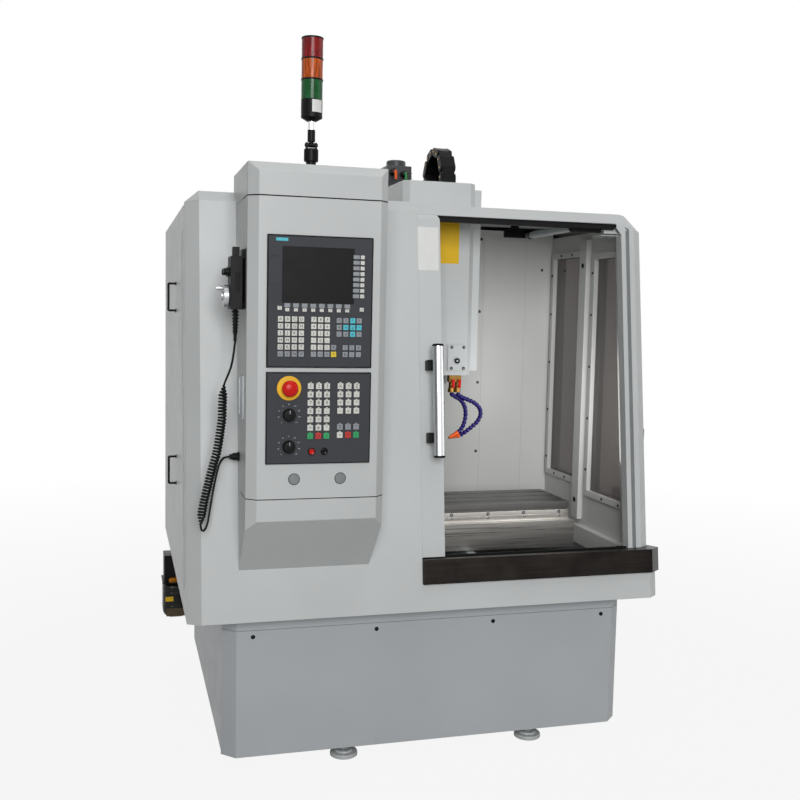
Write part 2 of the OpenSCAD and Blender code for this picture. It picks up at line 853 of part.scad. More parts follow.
module panel_lower() {
    color("#33363C") lifted() difference() {
        union() {
            box([pl, -786, 1006], [pl + 310, -780, 1274]);
            box([pl + 0.5, -780, 1006.5], [pl + 309.5, -776, 1273.5]);
        }
        rod_y(pl + 66, -790, -770, 1228, 11.06);
        for (z = [1150, 1057]) {
            rod_y(pl + 67, -790, -770, z, 4.06);
        }
        for (x = [134.5, 172.4]) {
            rod_y(pl + x, -790, -770, 1042, 8.06);
        }
    }
}

module key2(x, z) {
    translate([pl + x - key_b / 2, -789, 1274 - z - key_b / 2]) cube([key_b, 3, key_b]);
}

module keys_lower() {
    color("#D6D6D0") lifted() {
        for (c = [0:2], r = [0:5]) {
            key2(129.4 + c * 24.3, 40 + r * 24.4);
        }
        for (c = [0:2], z = [40, 64.2, 88.4, 112.6, 160]) {
            key2(218 + c * 24.5, z);
        }
        key2(218, 184.4);
    }
}

module keys_colored() {
    color("#2F9B5E") lifted() {
        key2(129.4, 186.4);
        key2(178, 186.4);
        key2(267, 184.4);
    }
    color("#B5332A") lifted() {
        key2(153.7, 186.4);
        key2(242.5, 184.4);
    }
}

module stop_ring() {
    color("#E3B219") lifted() difference() {
        rod_y(pl + 66, -791, -786, 1228, 35.5);
        rod_y(pl + 66, -792, -785, 1228, 11.3);
    }
}

module stop_button() {
    color("#C3261C") lifted() translate([pl + 66, 0, 1228]) rotate([90, 0, 0]) {
        translate([0, 0, 776]) cylinder(h = 27, r = 11);
        translate([0, 0, 797]) cylinder(h = 6, r1 = 13, r2 = stop_d / 2);
        translate([0, 0, 803]) cylinder(h = 8, r = stop_d / 2);
        translate([0, 0, 811]) cylinder(h = 9, r1 = stop_d / 2, r2 = stop_d / 2 - 8);
    }
}

module knob(z) {
    translate([pl + 67, 0, z]) rotate([90, 0, 0]) {
        translate([0, 0, 779]) cylinder(h = 10, r = 4);
        translate([0, 0, 788.5]) cylinder(h = 5, r = knob_d / 2);
        difference() {
            translate([0, 0, 793]) cylinder(h = 12, r1 = knob_d / 2 - 2, r2 = knob_d / 2 - 4);
            for (a = [0:30:330]) {
                rotate([0, 0, a]) translate([knob_d / 2 - 1.5, 0, 794]) cylinder(h = 13, r = 2, $fn = 16);
            }
        }
        translate([-1.2, 4, 805]) cube([2.4, knob_d / 2 - 9, 0.8]);
    }
}

module feed_knob() {
    color("#17181A") lifted() knob(1150);
}

module speed_knob() {
    color("#17181A") lifted() knob(1057);
}

module push(x) {
    translate([pl + x, 0, 1042]) rotate([90, 0, 0]) {
        translate([0, 0, 779]) cylinder(h = 12, r = 8);
    }
}

module start_button() {
    color("#B5332A") lifted() push(134.5);
}

module reset_button() {
    color("#1B1C1E") lifted() push(172.4);
}

module console_plugs() {
    color("#8E9396") lifted() for (x = [pl + 85, pl + 223]) {
        rod_y(x, -783, -780, 960, 16);
    }
}

module side_socket() {
    color("#9EA3A6") lifted() difference() {
        box([cxl - 4, -704, 1131], [cxl, -604, 1257]);
        box([cxl - 5, -696, 1139], [cxl - 2, -612, 1249]);
    }
}

module cable_gland() {
    color("#232527") lifted() {
        rod_x(cxl - 6, cxl, -600, 1004, 15);
        rod_x(cxl - 20, cxl - 6, -600, 1004, 11);
        rod_x(cxl - 30, cxl - 20, -600, 1004, 8);
    }
}

// Signal light on a folding foot
lx = cxl + 201;
ly = -650;

module light_bracket() {
    color("#1D1E20") lifted() {
        rod_z(lx, ly, 1874, 1880, 26);
        rod_z(lx, ly, 1880, 1896, 15);
        rod_z(lx, ly, 1896, 1934, 21.5);
        for (x = [lx - 16.5, lx + 11.5]) {
            difference() {
                translate([x, ly - 8, 1934]) cube([5, 16, 19]);
                rod_x(x - 1, x + 6, ly, 1945, 5.06);
            }
        }
    }
}

module light_mast() {
    color("#6C7072") lifted() {
        rod_x(lx - 19.5, lx + 19.5, ly, 1945, 5);
        rod_x(lx - 9.5, lx + 9.5, ly, 1945, 7);
        rod_z(lx, ly, 1945, 1955, 6);
        rod_z(lx, ly, 1954, 2016, 11.5);
        translate([lx, ly, 2014]) cylinder(h = 10, r1 = 15, r2 = lens_d / 2);
        rod_z(lx, ly, 2024, 2077, lens_d / 2);
    }
}

module lens(k) {
    rod_z(lx, ly, 2077 + k * (lens_h + 5), 2077 + k * (lens_h + 5) + lens_h, lens_d / 2);
}

module lens_green() {
    color("#1F7A45") lifted() lens(0);
}

module lens_amber() {
    color("#D9731A") lifted() lens(1);
}

module lens_red() {
    color("#B3261E") lifted() lens(2);
}

module light_rings() {
    color("#1D1E20") lifted() for (k = [0:2]) {
        rod_z(lx, ly, 2077 + k * (lens_h + 5) + lens_h, 2077 + (k + 1) * (lens_h + 5), lens_d / 2 + 1);
    }
}

// Handwheel pendant hung on the console's side
module pendant_hanger() {
    color("#2A2C2E") lifted() {
        box([cxl - 3, -735, 1454], [cxl, -625, 1627]);
        box([cxl - 8, -712, 1608], [cxl - 3, -648, 1627]);
    }
}

module pendant_body() {
    color("#232528") lifted() {
        difference() {
            box([cxl - 42, -720, 1452], [cxl - 8, -640, 1606]);
            rod_x(cxl - 44, cxl - 30, -680, 1491, 6.06);
            for (y = [-700, -660]) {
                rod_x(cxl - 44, cxl - 30, y, 1561, 4.06);
            }
        }
        box([cxl - 34, -692, 1606], [cxl - 14, -668, 1634]);
        box([cxl - 8, -700, 1480], [cxl - 3, -660, 1600]);
    }
}

module selector(y) {
    rod_x(cxl - 50, cxl - 34, y, 1561, 4);
    rod_x(cxl - 62, cxl - 44, y, 1561, 11);
    translate([cxl - 64, y - 1.5, 1561]) cube([3, 3, 10]);
}

module axis_knob() {
    color("#2F3134") lifted() selector(-700);
}

module step_knob() {
    color("#2F3134") lifted() selector(-660);
}

module handwheel() {
    color("#C3C6C8") lifted() difference() {
        union() {
            rod_x(cxl - 50, cxl - 33, -680, 1491, 6);
            rod_x(cxl - 60, cxl - 45, -680, 1491, wheel_d / 2);
            rod_x(cxl - 66, cxl - 60, -680, 1491, 12);
            rod_x(cxl - 76, cxl - 60, -680, 1513, 2);
        }
        for (a = [0:12:348]) {
            translate([0, -680, 1491]) rotate([a, 0, 0]) rod_x(cxl - 64, cxl - 44, 0, wheel_d / 2 + 1, 2);
        }
    }
}

module crank_knob() {
    color("#1B1C1E") lifted() difference() {
        union() {
            rod_x(cxl - 80, cxl - 60.5, -680, 1513, 6);
            rod_x(cxl - 82, cxl - 78, -680, 1513, 5);
        }
        rod_x(cxl - 77, cxl - 60, -680, 1513, 2.06);
    }
}

module pendant_relief() {
    color("#1B1C1E") lifted() {
        for (i = [0:6]) {
            rod_z(cxl - 24, -680, 1386 + i * 9.4, 1391 + i * 9.4, 7.5 + i * 0.5);
        }
        rod_z(cxl - 24, -680, 1380, 1452, 6.5);
        rod_z(cxl - 24, -680, 1358, 1380, 5);
    }
}

// route of the pendant's cord: x, y, z and radius
cord_route = [[-676, -680, 1358, 3.4], [-680, -682, 1320, 3.4], [-688, -686, 1280, 3.4],
    [-702, -688, 1248, 3.6], [-708, -688, 1232, 13], [-712, -688, 1195, 14.5], [-713, -686, 1165, 14.5],
    [-713, -684, 1130, 14.5],
    [-716, -682, 1106, 14.5], [-719, -680, 1082, 14.5], [-723, -678, 1053, 14.5], [-728, -676, 1024, 14.5],
    [-735, -674, 1000, 14.5], [-741, -672, 976, 14.5], [-747, -670, 952, 14.5], [-752, -668, 928, 14.5],
    [-757, -666, 908, 14.5], [-761, -664, 889, 14.5], [-767, -662, 858, 14.5], [-771, -660, 828, 14.5],
    [-772, -657, 806, 13], [-770, -652, 792, 3.8], [-764, -646, 786, 3.6], [-756, -640, 790, 3.5],
    [-748, -634, 812, 3.5], [-742, -628, 850, 3.5], [-735, -622, 890, 3.5], [-725, -614, 940, 3.5],
    [-714, -607, 982, 3.5], [-704, -603, 998, 3.5], [-694, -600, 1003, 3.5], [-682, -600, 1004, 3.5]];

function unit(v) = v / norm(v);
function heading(i) = let (n = len(cord_route) - 1, a = cord_route[max(i - 1, 0)],
    b = cord_route[min(i + 1, n)]) unit([b[0] - a[0], b[1] - a[1], b[2] - a[2]]);

module pendant_cord() {
    sides = 10;
    n = len(cord_route);
    ring = [for (i = [0:n - 1]) let (t = heading(i), u = unit(cross(t, [0.2, 1, 0.1])), v = cross(t, u))
        for (k = [0:sides - 1]) let (c = cord_route[i], a = 360 * k / sides)
            [c[0] + cxl + 652, c[1], c[2]] + c[3] * (cos(a) * u + sin(a) * v)];
    side_faces = [for (i = [0:n - 2], k = [0:sides - 1]) let (m = (k + 1) % sides)
        [i * sides + k, i * sides + m, (i + 1) * sides + m, (i + 1) * sides + k]];
    cap_a = [for (k = [0:sides - 1]) sides - 1 - k];
    cap_b = [for (k = [0:sides - 1]) (n - 1) * sides + k];
    color("#17181A") lifted()
        polyhedron(points = ring, faces = concat(side_faces, [cap_a, cap_b]), convexity = 6);
}

// Automatic oiler beside the stand, at the left rear
module oiler_body() {
    color("#1F2123") lifted() {
        box([-700, 560, 300], [-692, 704, 430]);
        box([-822, 600, 302], [-699, 700, 412]);
        box([-830, 560, 300], [-699, 704, 304]);
    }
}

module oiler_tank() {
    color("#5A4420", 0.8) lifted() box([-828, 562, 150], [-718, 702, 300]);
}

module oiler_cap() {
    color("#D9731A") lifted() rod_z(-786, 580, 303, 318, 17);
}

// Groups of pieces that share a node
module case_fittings() {
    cover_screws();
    window_screws();
    liner_screws();
    left_handles();
    right_handle();
}

module floor_pans() {
    under_plate();
    floor_pan();
}

module door_frame() {
    door_header();
    right_post();
    corner_cap();
    corner_plates();
}

module left_side() {
    left_wall();
    left_access();
}

module right_side() {
    right_wall();
    window_frames();
}

module rear_side() {
    rear_wall();
    cabinet_pins();
}

module pull_tube() {
    door_pull();
    pull_caps();
}

module lamp() {
    work_lamp();
    lamp_brackets();
}

module column_unit() {
    column();
    column_rails();
}

module z_motor() {
    column_motor();
    motor_plugs();
}

module saddle_unit() {
    saddle();
    saddle_ways();
}

module way_guard() {
    table_guard();
    guard_screws();
}

module head_shell() {
    head_cover();
    air_plate();
}

module head_body() {
    head_casting();
    spindle_cartridge();
}

module console() {
    console_box();
    console_cap();
    console_foot();
}

module panels() {
    panel_upper();
    panel_lower();
}

module keys_plain() {
    keys_upper();
    keys_lower();
}

module keys_bright() {
    keys_accent();
    keys_colored();
    stop_ring();
}

module console_fittings() {
    console_plugs();
    side_socket();
    cable_gland();
    pendant_hanger();
}

module light_stem() {
    light_mast();
    light_rings();
}

module pendant() {
    pendant_body();
    pendant_relief();
}

module oiler() {
    oiler_body();
    oiler_cap();
}

base_frame();
base_cover();
case_fittings();
feet();
floor_pans();
front_panel();
sill_tray();
door_frame();
left_side();
right_side();
side_windows();
roof();
rear_side();
cabinet_door();
back_liner();
door_track();
door_leaf();
door_glass();
pull_tube();
lamp();
bed();
column_unit();
z_motor();
saddle_unit();
table();
way_guard();
head_shell();
head_body();
spindle_nose();
coolant_block();
valve_left();
valve_right();
coolant_hoses();
coolant_nozzles();
cable_chain();
console();
panels();
panel_screen();
keys_plain();
keys_bright();
stop_button();
feed_knob();
speed_knob();
start_button();
reset_button();
console_fittings();
light_bracket();
light_stem();
lens_red();
lens_amber();
lens_green();
pendant();
axis_knob();
step_knob();
handwheel();
crank_knob();
pendant_cord();
oiler();
oiler_tank();
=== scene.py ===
"""Dresses a small enclosed machining center: its camera, light, finishes and fine pieces."""

import json
import logging
import math
from dataclasses import dataclass
from enum import Enum
from typing import Any, Sequence

import bmesh
import bpy
from mathutils import Matrix, Vector


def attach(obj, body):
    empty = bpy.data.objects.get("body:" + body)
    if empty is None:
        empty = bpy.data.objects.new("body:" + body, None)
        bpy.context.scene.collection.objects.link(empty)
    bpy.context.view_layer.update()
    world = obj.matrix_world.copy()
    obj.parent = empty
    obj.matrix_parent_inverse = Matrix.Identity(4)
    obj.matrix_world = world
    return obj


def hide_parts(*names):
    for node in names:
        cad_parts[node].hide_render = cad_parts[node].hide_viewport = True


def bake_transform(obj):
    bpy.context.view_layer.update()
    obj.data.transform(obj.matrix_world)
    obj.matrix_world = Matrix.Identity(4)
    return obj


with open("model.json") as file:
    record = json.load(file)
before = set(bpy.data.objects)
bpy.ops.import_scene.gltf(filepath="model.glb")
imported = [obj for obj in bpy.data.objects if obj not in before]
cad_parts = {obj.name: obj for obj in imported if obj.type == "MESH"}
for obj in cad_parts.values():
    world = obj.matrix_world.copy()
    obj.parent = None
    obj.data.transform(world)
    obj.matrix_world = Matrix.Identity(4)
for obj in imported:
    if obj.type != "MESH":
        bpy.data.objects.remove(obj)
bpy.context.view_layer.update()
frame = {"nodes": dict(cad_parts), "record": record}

log = logging.getLogger("machining_center")

BMEdge = bmesh.types.BMEdge
BMesh = bmesh.types.BMesh
BMFace = bmesh.types.BMFace
BMVert = bmesh.types.BMVert
Material = bpy.types.Material
Node = bpy.types.Node
NodeSocket = bpy.types.NodeSocket
NodeTree = bpy.types.NodeTree
Object = bpy.types.Object
Point = tuple[float, float, float]
Pair = tuple[float, float]

MM = 0.001
# From the part's source, in millimetres: the lift onto the feet, the front's lean, the place of the
# leaning front's foot, and the spindle's axis.
LIFT = 20.0
TILT = math.radians(7.407)
FRONT_Y = -627.5
SKIRT_Z = 489.0
SPINDLE_X = 98.0
# Corners that lie closer than this, in metres, are one: in a CAD node, and in a new piece.
CAD_MERGE = 2e-6
NEW_MERGE = 1e-6
# The least turn of an edge that counts as sharp.
SHARP = math.radians(30.0)
# Turns a piece that is made upright so that its top faces the operator.
TO_FRONT = Matrix.Rotation(math.radians(90), 4, "X")


# Places and colours


def spot(x: float, y: float, z: float) -> Vector:
    """Turns a place of the part's source, in millimetres, into the frame's metres.

    Args:
        x: To the right.
        y: To the rear.
        z: Up, before the machine is lifted onto its feet.

    Returns:
        The same place in metres, lifted.
    """
    return Vector((x * MM, y * MM, (z + LIFT) * MM))


def on_slope(x: float, v: float, w: float) -> Vector:
    """Gives a place on the leaning front, in metres.

    Args:
        x: To the right, in millimetres.
        v: Behind the outer face, in millimetres.
        w: Up the slope from the skirt, in millimetres.

    Returns:
        The place in the frame.
    """
    y = FRONT_Y + v * math.cos(TILT) + w * math.sin(TILT)
    z = SKIRT_Z - v * math.sin(TILT) + w * math.cos(TILT)
    return spot(x, y, z)


def slope_frame() -> Matrix:
    """Gives the transform from upright axes to the leaning front's own, which start at its foot."""
    return Matrix.Translation(on_slope(0, 0, 0)) @ Matrix.Rotation(-TILT, 4, "X")


def colour(value: str) -> tuple[float, float, float, float]:
    """Turns an sRGB hex value into a linear colour.

    Args:
        value: Six hex digits.

    Returns:
        The linear red, green, blue and an alpha of one.
    """
    parts = [int(value[i : i + 2], 16) / 255 for i in (0, 2, 4)]
    linear = [p / 12.92 if p <= 0.04045 else ((p + 0.055) / 1.055) ** 2.4 for p in parts]
    return (linear[0], linear[1], linear[2], 1.0)


def toned(value: str, factor: float) -> tuple[float, float, float, float]:
    """Multiplies the linear colour of a hex value by a factor and holds it below one."""
    r, g, b, a = colour(value)
    return (min(r * factor, 1.0), min(g * factor, 1.0), min(b * factor, 1.0), a)


# Finishes


def add_node(tree: NodeTree, kind: str, settings: dict[str, Any] | None = None,
             links: dict[str | int, NodeSocket] | None = None) -> Node:
    """Adds a node with its settings and links.

    Args:
        tree: The material's or world's node tree.
        kind: The node's type name.
        settings: Attributes of the node, or values of its inputs by name.
        links: Output sockets by the input that each goes to.

    Returns:
        The new node.
    """
    node = tree.nodes.new(kind)
    for key, value in (settings or {}).items():
        if hasattr(node, str(key)):
            setattr(node, key, value)
        else:
            node.inputs[key].default_value = value
    for key, source in (links or {}).items():
        tree.links.new(source, node.inputs[key])
    return node


def set_inputs(shader: Node, values: dict[str, float]) -> None:
    """Gives a shader's inputs their values."""
    for key, value in values.items():
        shader.inputs[key].default_value = value


class Grain(Enum):
    """The way that a brushed surface's lines run: how much faster the pattern changes on each axis."""

    ALONG_X = (1.0, 110.0, 110.0)
    ALONG_Y = (110.0, 1.0, 110.0)
    ALONG_Z = (110.0, 110.0, 1.0)


@dataclass(frozen=True)
class Finish:
    """A surface finish; each kind adds its own colour, roughness and relief."""

    name: str
    tint: str
    roughness: float

    def material(self) -> Material:
        """Makes the material once and gives it back after that.

        Returns:
            The material with this finish.
        """
        found = bpy.data.materials.get(self.name)
        if found is not None:
            return found
        made = bpy.data.materials.new(self.name)
        made.use_nodes = True
        tree = made.node_tree
        tree.nodes.clear()
        shader = add_node(tree, "ShaderNodeBsdfPrincipled", {"Roughness": self.roughness})
        shader.inputs["Base Color"].default_value = colour(self.tint)
        add_node(tree, "ShaderNodeOutputMaterial", None, {"Surface": shader.outputs[0]})
        self.fill(tree, shader)
        return made

    def fill(self, tree: NodeTree, shader: Node) -> None:
        """Adds what is particular to the finish."""

    def noise(self, tree: NodeTree, size_mm: float, detail: float = 3.0,
              stretch: Point = (1.0, 1.0, 1.0)) -> NodeSocket:
        """Adds a noise whose spots have a real size.

        Args:
            tree: The material's tree.
            size_mm: The width of a spot in millimetres.
            detail: How many finer layers it has.
            stretch: How much faster it changes along each axis.

        Returns:
            The noise's grey value.
        """
        place = add_node(tree, "ShaderNodeTexCoord")
        turned = add_node(tree, "ShaderNodeMapping", {"Scale": stretch},
                          {"Vector": place.outputs["Object"]})
        grain = add_node(tree, "ShaderNodeTexNoise", {"Scale": 1 / (size_mm * MM), "Detail": detail},
                         {"Vector": turned.outputs[0]})
        return grain.outputs[0]

    def ramp(self, tree: NodeTree, value: NodeSocket, low: tuple[float, ...],
             high: tuple[float, ...], start: float, end: float) -> NodeSocket:
        """Turns a grey value into a colour between two.

        Args:
            tree: The material's tree.
            value: The grey value.
            low: The colour at the start.
            high: The colour at the end.
            start: The value at which the change starts.
            end: The value at which it ends.

        Returns:
            The colour.
        """
        node = add_node(tree, "ShaderNodeValToRGB", None, {"Fac": value})
        node.color_ramp.elements[0].position = start
        node.color_ramp.elements[1].position = end
        node.color_ramp.elements[0].color = low
        node.color_ramp.elements[1].color = high
        return node.outputs[0]

    def tone_between(self, tree: NodeTree, shader: Node, value: NodeSocket, low: float, high: float,
                     start: float = 0.35, end: float = 0.65) -> None:
        """Lets the colour follow a grey value between two tones of the tint.

        Args:
            tree: The material's tree.
            shader: The shader.
            value: The grey value.
            low: What the tint is multiplied by at the value's low end.
            high: What it is multiplied by at the high end.
            start: The value at which the change starts.
            end: The value at which it ends.
        """
        tone = self.ramp(tree, value, toned(self.tint, low), toned(self.tint, high), start, end)
        tree.links.new(tone, shader.inputs["Base Color"])

    def rough_between(self, tree: NodeTree, shader: Node, value: NodeSocket, low: float,
                      high: float) -> None:
        """Lets the roughness follow a grey value.

        Args:
            tree: The material's tree.
            shader: The shader.
            value: The grey value.
            low: The roughness at the value's low end.
            high: The roughness at its high end.
        """
        node = add_node(tree, "ShaderNodeMapRange",
                        {"From Min": 0.3, "From Max": 0.7, "To Min": low, "To Max": high},
                        {"Value": value})
        tree.links.new(node.outputs[0], shader.inputs["Roughness"])

    def relief(self, tree: NodeTree, shader: Node, value: NodeSocket, depth_mm: float,
               strength: float) -> None:
        """Adds a fine relief of a real depth.

        Args:
            tree: The material's tree.
            shader: The shader.
            value: The grey value that stands for height.
            depth_mm: The height between black and white.
            strength: How much of it shows.
        """
        bump = add_node(tree, "ShaderNodeBump", {"Strength": strength, "Distance": depth_mm * MM},
                        {"Height": value})
        tree.links.new(bump.outputs[0], shader.inputs["Normal"])


@dataclass(frozen=True)
class PowderCoat(Finish):
    """Polyester powder baked on sheet steel: satin, with the faint orange peel of the melt.

    Real peel is about a millimetre wide. It is drawn coarser, because it wouldn't show otherwise.
    """

    peel_mm: float = 2.2
    spread: float = 0.035
    peel_depth_mm: float = 0.02
    drift_mm: float = 420.0
    wiped_mm: float = 60.0

    def fill(self, tree: NodeTree, shader: Node) -> None:
        """Adds the slow tone drift, the orange peel and a thin clear skin."""
        drift = self.noise(tree, self.drift_mm, 2.0)
        self.tone_between(tree, shader, drift, 1 - self.spread, 1 + self.spread)
        wiped = self.noise(tree, self.wiped_mm)
        self.rough_between(tree, shader, wiped, self.roughness - 0.04, self.roughness + 0.05)
        self.relief(tree, shader, self.noise(tree, self.peel_mm, 1.0), self.peel_depth_mm, 0.35)
        set_inputs(shader, {"Specular IOR Level": 0.28, "Coat Weight": 0.08, "Coat Roughness": 0.16})


@dataclass(frozen=True)
class BrushedMetal(Finish):
    """Metal ground or brushed one way: fine lines that stretch its highlights.

    The lines are drawn one to two millimetres apart. Real ones are ten times finer and wouldn't show.
    """

    grain: Grain = Grain.ALONG_X
    line_mm: float = 120.0
    contrast: float = 0.12
    wear: float = 0.0
    line_depth_mm: float = 0.0015
    stain_mm: float = 90.0

    def fill(self, tree: NodeTree, shader: Node) -> None:
        """Adds the lines, their uneven gloss and, where it is worn, cloudy patches."""
        lines = self.noise(tree, self.line_mm, 4.0, self.grain.value)
        tone = self.ramp(tree, lines, toned(self.tint, 1 - self.contrast),
                         toned(self.tint, 1 + self.contrast), 0.25, 0.75)
        if self.wear > 0:
            cloud = self.ramp(tree, self.noise(tree, self.stain_mm, 5.0),
                              toned("FFFFFF", 1 - self.wear), colour("FFFFFF"), 0.3, 0.7)
            patch = add_node(tree, "ShaderNodeMix", {"data_type": "RGBA", "blend_type": "MULTIPLY"},
                             {6: tone, 7: cloud})
            patch.inputs[0].default_value = 1.0
            tone = patch.outputs[2]
        tree.links.new(tone, shader.inputs["Base Color"])
        shader.inputs["Metallic"].default_value = 1.0
        self.rough_between(tree, shader, lines, self.roughness - 0.05, self.roughness + 0.07)
        self.relief(tree, shader, lines, self.line_depth_mm, 0.15)


@dataclass(frozen=True)
class TurnedMetal(Finish):
    """Machined or polished metal with a fine even bloom, drawn coarser than the tool's marks."""

    bloom_mm: float = 1.5

    def fill(self, tree: NodeTree, shader: Node) -> None:
        """Adds the bloom in tone and gloss."""
        bloom = self.noise(tree, self.bloom_mm, 4.0)
        self.tone_between(tree, shader, bloom, 0.88, 1.08)
        shader.inputs["Metallic"].default_value = 1.0
        self.rough_between(tree, shader, bloom, self.roughness - 0.03, self.roughness + 0.06)


@dataclass(frozen=True)
class MouldedPlastic(Finish):
    """Injection-moulded plastic with the mould's spark-eroded texture, drawn a little coarse."""

    texture_mm: float = 0.9
    depth_mm: float = 0.03
    gloss: float = 0.3
    drift: float = 0.06
    smear_mm: float = 35.0

    def fill(self, tree: NodeTree, shader: Node) -> None:
        """Adds the mould texture and a slight unevenness in gloss."""
        pits = self.noise(tree, self.texture_mm, 2.0)
        smear = self.noise(tree, self.smear_mm, 3.0)
        self.tone_between(tree, shader, smear, 1 - self.drift, 1 + self.drift)
        shader.inputs["Specular IOR Level"].default_value = self.gloss
        self.rough_between(tree, shader, smear, self.roughness - 0.05, self.roughness + 0.06)
        self.relief(tree, shader, pits, self.depth_mm, 0.5)


@dataclass(frozen=True)
class ClearPane(Finish):
    """Polycarbonate window sheet: clear, faintly grey, glossy."""

    smear_mm: float = 120.0

    def fill(self, tree: NodeTree, shader: Node) -> None:
        """Makes it see-through with a faint smear in its gloss."""
        set_inputs(shader, {"Transmission Weight": 0.55, "IOR": 1.45})
        smear = self.noise(tree, self.smear_mm, 4.0)
        self.rough_between(tree, shader, smear, self.roughness, self.roughness + 0.03)


@dataclass(frozen=True)
class LensPlastic(Finish):
    """Coloured acrylic lens, moulded with ribs inside that break up the light; the ribs are drawn as
    painted highlight and shade bands in its colour.
    """

    rib_mm: float = 5.0

    def fill(self, tree: NodeTree, shader: Node) -> None:
        """Adds the ribs as lighter and darker bands of the tint, painted highlight and shade, behind the
        glossy outside.
        """
        # Painted highlight and shade: the ribs show as lighter and darker bands of the tint.
        ribs = self.noise(tree, self.rib_mm, 1.0, (1.0, 1.0, 0.12))
        self.tone_between(tree, shader, ribs, 0.55, 1.3, 0.36, 0.68)
        set_inputs(shader, {"Specular IOR Level": 0.25, "Coat Weight": 0.12, "Coat Roughness": 0.04,
                            "Transmission Weight": 0.05})


# Satin light grey: folds and flats part by soft steps of tone.
PAINT = PowderCoat("light_grey_powder_coat", "BEC1C1", 0.4)
# A shade darker and duller, so that the stand parts from the cabinet.
PAINT_BASE = PowderCoat("light_grey_powder_coat_stand", "ABAFB2", 0.45)
# Slightly warmer and glossier, so that the chamber's walls gather the light.
PAINT_LINER = PowderCoat("light_grey_powder_coat_liner", "BABBB8", 0.36)
# Dull and nearly black: the chamber's floor sinks back.
PAINT_DARK = PowderCoat("dark_grey_powder_coat", "26282A", 0.45)
# Sprayed enamel over cast iron: mid grey with a coarser skin than powder.
ENAMEL = PowderCoat("machine_enamel", "8F9495", 0.38, 3.0)
# Oiled dark sheet: long dull streaks with cloudy stains.
SILL_STEEL = BrushedMetal("dark_oiled_sheet", "2B2826", 0.38, Grain.ALONG_X, 260.0, 0.22, 0.5)
# Ground steel: plain grey, with even lines that draw the light out along the table.
GROUND = BrushedMetal("ground_table_steel", "6E6D6B", 0.36, Grain.ALONG_X, 220.0, 0.1, 0.16)
# Brushed stainless steel: a pale, even sheen.
STAINLESS = BrushedMetal("brushed_stainless", "CCC9C4", 0.3, Grain.ALONG_X, 260.0, 0.06, 0.05)
# Freshly ground strip: the brightest line in the chamber.
BRIGHT_STRIP = BrushedMetal("bright_ground_strip", "DDD9D3", 0.22, Grain.ALONG_X, 240.0, 0.05)
# Polished aluminium: one narrow white light along the tube.
BRIGHT_TUBE = BrushedMetal("polished_aluminium_tube", "D6D8DA", 0.2, Grain.ALONG_Z, 120.0, 0.06)
# Polished steel: hard-edged light and dark.
CHROME = TurnedMetal("polished_steel", "C9CBCD", 0.16)
# Anodised aluminium: pale, with a soft ring of light.
WHEEL = TurnedMetal("satin_anodised_aluminium", "A6A8AA", 0.3)
# Blackened steel: a dark head with a small glint.
SCREW_STEEL = TurnedMetal("blackened_screw_steel", "4A4C4E", 0.4)
# Zinc plate: bluish grey, half bright.
ZINC = TurnedMetal("zinc_plated_steel", "9EA2A5", 0.35)
# Turned brass: brownish gold with a soft bloom.
BRASS = TurnedMetal("turned_brass", "93703C", 0.3)
# Moulded ABS: deep black that shows its form by thin highlights alone.
BLACK = MouldedPlastic("black_moulded_plastic", "09090A", 0.4, gloss=0.12)
# Moulded nylon: the same black, duller.
BLACK_SOFT = MouldedPlastic("black_nylon", "08080A", 0.5, 0.9, 0.02, 0.12)
# Polyester foil: matt dark grey without a highlight.
FOIL = MouldedPlastic("dark_grey_panel_foil", "3B3D41", 0.6, 0.7, 0.02, 0.18)
# Glass over a dark display: smooth, nearly black, with a weak reflection.
SCREEN = MouldedPlastic("screen_glass", "0C0D0C", 0.14, 2.0, 0.002, 0.13)
# Moulded ABS key caps, satin: off-white ones stand out from the panel,
KEY_PALE = MouldedPlastic("off_white_key_cap", "CFCFC9", 0.45, 0.6, 0.01)
# grey ones sink into it,
KEY_GREY = MouldedPlastic("grey_key_cap", "8C9096", 0.45, 0.6, 0.01)
# and cyan,
KEY_CYAN = MouldedPlastic("cyan_key_cap", "4DB7C6", 0.45, 0.6, 0.01)
# yellow,
KEY_YELLOW = MouldedPlastic("yellow_key_cap", "D9BE35", 0.45, 0.6, 0.01)
# green
KEY_GREEN = MouldedPlastic("green_key_cap", "2F9B5E", 0.4, 0.6, 0.01)
# and red ones are its small bright accents.
KEY_RED = MouldedPlastic("red_key_cap", "C2332A", 0.4, 0.6, 0.01)
# Matt printing ink, dark on the pale caps
MARK = MouldedPlastic("printed_mark", "202226", 0.6, 0.6, 0.005)
# and pale on the dark panel.
MARK_PALE = MouldedPlastic("pale_printed_mark", "B9BCC0", 0.6, 0.6, 0.005)
# Polished moulding: a full red with one soft highlight.
STOP_RED = MouldedPlastic("red_gloss_plastic", "C9140E", 0.26, 1.2, 0.01, 0.22)
# The same in a warm yellow.
STOP_YELLOW = MouldedPlastic("yellow_gloss_plastic", "E8B419", 0.35, 1.2, 0.01)
# Vinyl sheet: a flat, even yellow
LABEL_YELLOW = MouldedPlastic("yellow_vinyl_field", "DDB21C", 0.35, 1.5, 0.004, 0.3, 0.015)
# or white, with hardly any texture.
LABEL_WHITE = MouldedPlastic("white_vinyl_field", "D9DAD8", 0.35, 1.5, 0.004, 0.3, 0.012)
# Acetal hose segments: a dark violet blue, each with its own glint.
HOSE_BLUE = MouldedPlastic("violet_blue_hose_plastic", "1D1262", 0.3, 1.5, 0.02)
# Acetal nozzles: clear orange, half glossy.
ORANGE = MouldedPlastic("orange_gloss_plastic", "DD5A1E", 0.3, 1.2, 0.01)
# PVC cable jacket: a plain satin green.
WIRE_GREEN = MouldedPlastic("green_wire", "2E7F45", 0.4, 0.8, 0.01)
# Polyurethane cord jacket: black and dull, so that only the coil's rims catch light.
RUBBER = MouldedPlastic("black_cord_jacket", "0C0D0E", 0.5, 0.6, 0.01, 0.15)
